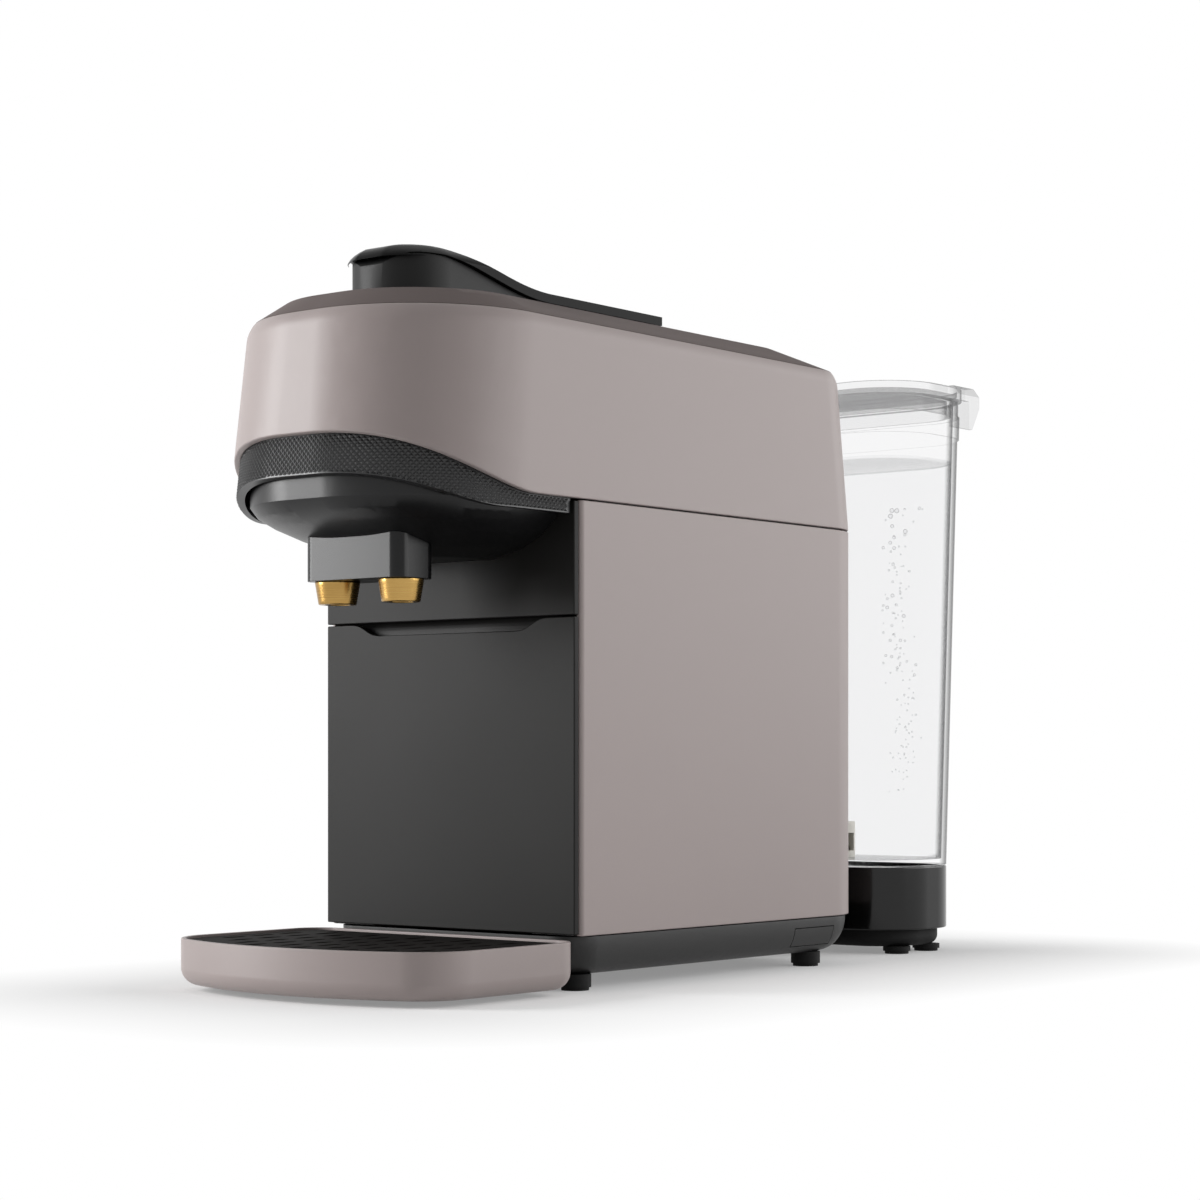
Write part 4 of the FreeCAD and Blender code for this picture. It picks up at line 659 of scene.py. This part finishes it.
def water_body():
    """Water in the tank, with the small rise it makes where it wets the wall."""
    foot_z = tank_floor_z + water_floor_gap
    rings = [water_ring(foot_z, water_inset + water_foot_bevel),
             water_ring(foot_z + water_foot_bevel, water_inset),
             water_ring(water_level_z + wetting_rise, water_inset),
             water_ring(water_level_z + wetting_bend_rise, water_inset + wetting_bend_width),
             water_ring(water_level_z, water_inset + wetting_width)]
    mesh = bpy.data.meshes.new("water")
    count = len(rings[0])
    points = [p for ring in rings for p in ring]
    faces = [tuple(range(count - 1, -1, -1)), tuple(range((len(rings) - 1) * count, len(rings) * count))]
    for r in range(len(rings) - 1):
        for k in range(count):
            n = (k + 1) % count
            faces.append((r * count + k, r * count + n, (r + 1) * count + n, (r + 1) * count + k))
    mesh.from_pydata(points, [], faces)
    outward(mesh)
    piece = added("tank_water", mesh)
    for polygon in mesh.polygons:
        polygon.use_smooth = len(polygon.vertices) == 4
    mesh.set_sharp_from_angle(angle=water_crease)
    mesh.materials.append(water_clear)
    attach(piece, "tank")


def bubble_column():
    """A wavering column of bubbles that thickens towards the water's top."""
    chance = random.Random(bubble_seed)
    mesh = bpy.data.meshes.new("bubble_points")
    points, girths = [], []
    middle_y = (tank_front_y + tank_rear_y) / 2
    for _ in range(bubble_count):
        height = chance.random() ** bubble_crowding
        scatter = bubble_scatter + bubble_scatter_growth * height
        sway = bubble_sway * math.sin(height * bubble_sway_turn) + chance.gauss(0, 1) * scatter
        points.append((bubble_x + sway, middle_y + chance.gauss(0, 1) * bubble_depth_scatter,
                       bubble_low_z + height * bubble_climb))
        girths.append(bubble_least + bubble_growth * height * chance.random() ** bubble_smallness)
    mesh.from_pydata(points, [], [])
    mesh.attributes.new("girth", "FLOAT", "POINT").data.foreach_set("value", girths)
    piece = grown("tank_bubbles", mesh, bubble_tree(), Finish=bubble_clear)
    for polygon in piece.data.polygons:
        polygon.use_smooth = True
    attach(piece, "tank")


def finger_recess():
    """Back of the shallow finger dip over the drawer, curved so that it catches light low down."""
    outline = []
    for k in range(dip_rows + 1):
        share = k / dip_rows
        outline.append((front_y + dip_depth + dip_curve * share ** 2,
                        dip_low_z + (dip_high_z - dip_low_z) * share))
    loop = outline + [(y + dip_skin, z) for y, z in reversed(outline)]
    mesh = bpy.data.meshes.new("finger_recess")
    count = len(loop)
    points = [(x, y, z) for x in (-dip_half, dip_half) for y, z in loop]
    faces = [tuple(range(count)), tuple(range(2 * count - 1, count - 1, -1))]
    faces += [(k, count + k, count + (k + 1) % count, (k + 1) % count) for k in range(count)]
    mesh.from_pydata(points, [], faces)
    outward(mesh)
    piece = added("finger_recess", mesh)
    mesh.materials.append(panel_black)
    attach(piece, "machine")


def screw_recess_shade():
    """Dark crosses on the four screw heads of the rear panel: flat bars painted dark as the shade of cross
    recesses that are not cut.
    """
    low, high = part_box("panel_screws")
    middle_y = high[1] - recess_depth / 2 + recess_proud
    mesh = bpy.data.meshes.new("screw_points")
    mesh.from_pydata([(x, middle_y, z) for x in (low[0] + screw_head_radius, high[0] - screw_head_radius)
                      for z in (low[2] + screw_head_radius, high[2] - screw_head_radius)], [], [])
    # The skirt's black stands here as painted shade in the screws' recesses
    piece = grown("screw_recess_shade", mesh, cross_tree(), Length=recess_length, Width=recess_width,
                  Depth=recess_depth, Finish=skirt_black)
    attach(piece, "machine")


water_body()
bubble_column()
finger_recess()
screw_recess_shade()

camera_data = bpy.data.cameras.new("view")
camera_data.lens = 81.0
camera_data.sensor_width = 36.0
camera_data.shift_y = 0.13
camera = added("view", camera_data)
camera.location = (camera_aside, front_y - camera_ahead, camera_height)
camera.rotation_euler = (math.radians(90), 0, camera_turn)
bpy.context.scene.camera = camera


def softbox(name, place, aim, size, power):
    """A large lamp pointed at a place."""
    lamp = bpy.data.lights.new(name, "AREA")
    lamp.shape = "RECTANGLE"
    lamp.size, lamp.size_y = size
    lamp.energy = power
    box = added(name, lamp)
    box.location = place
    way = Vector(aim) - Vector(place)
    box.rotation_euler = way.to_track_quat("-Z", "Y").to_euler()


softbox("left_box", place=(-1.32, -1.16, 0.55), aim=(0, -0.12, 0.17), size=(0.6, 1.3), power=37.0)
softbox("right_box", place=(1.35, 1.10, 0.66), aim=(0, 0, 0.12), size=(3.0, 1.2), power=28.0)
softbox("top_box", place=(0, 0.1, 1.9), aim=(0, 0, 0), size=(1.4, 1.4), power=3.0)

world = bpy.data.worlds.new("studio")
bpy.context.scene.world = world
world.use_nodes = True
sky = NodeWork(world.node_tree)
back = sky.tree.nodes["Background"]
sky.feed(back.inputs["Color"], (1, 1, 1, 1))
sky.feed(back.inputs["Strength"], sky.node("ShaderNodeMapRange", inputs={
    "Value": sky.background_share(), "To Min": room_light, "To Max": 1.0}))


def beyond(finish, axis, half):
    """How far a point of the floor lies outside the object's outline along one axis."""
    along = finish.node("ShaderNodeSeparateXYZ", inputs={0: finish.place()}, out=axis)
    away = finish.node("ShaderNodeMath", {"operation": "ABSOLUTE"}, {0: along})
    return finish.node("ShaderNodeMath", {"operation": "MAXIMUM"}, {0: away - half, 1: 0.0})


def floor_white():
    """White floor that keeps the object's shadow and goes over into the white background."""
    f = Finish("floor_white")
    f.shade(Base_Color=(0.95, 0.95, 0.95, 1), Roughness=0.9, Specular_IOR_Level=0.0)
    white = f.node("ShaderNodeEmission", inputs={"Color": (1, 1, 1, 1), "Strength": 1.0}, out="Emission")
    beyond_x = beyond(f, "X", cad_box[1][0] * stand_share_x)
    beyond_y = beyond(f, "Y", cad_box[1][1] * stand_share_y)
    reach = f.node("ShaderNodeMath", {"operation": "SQRT"}, {0: beyond_x * beyond_x + beyond_y * beyond_y})
    fade = f.ramp(reach, 0.0, shadow_reach) * (1 - shadow_white) + shadow_white
    f.blend(fade * f.background_share(), f.main(), white)
    return f.material


floor_mesh = bpy.data.meshes.new("floor")
floor_mesh.from_pydata([(-floor_half, -floor_half, 0), (floor_half, -floor_half, 0),
                        (floor_half, floor_half, 0), (-floor_half, floor_half, 0)], [], [(0, 1, 2, 3)])
floor_mesh.materials.append(floor_white())
floor = added("floor", floor_mesh)

bpy.context.scene.view_settings.view_transform = "Standard"
# Lid, tank and water lie behind one another, so light has many clear walls to cross
bpy.context.scene.cycles.transparent_max_bounces = 32
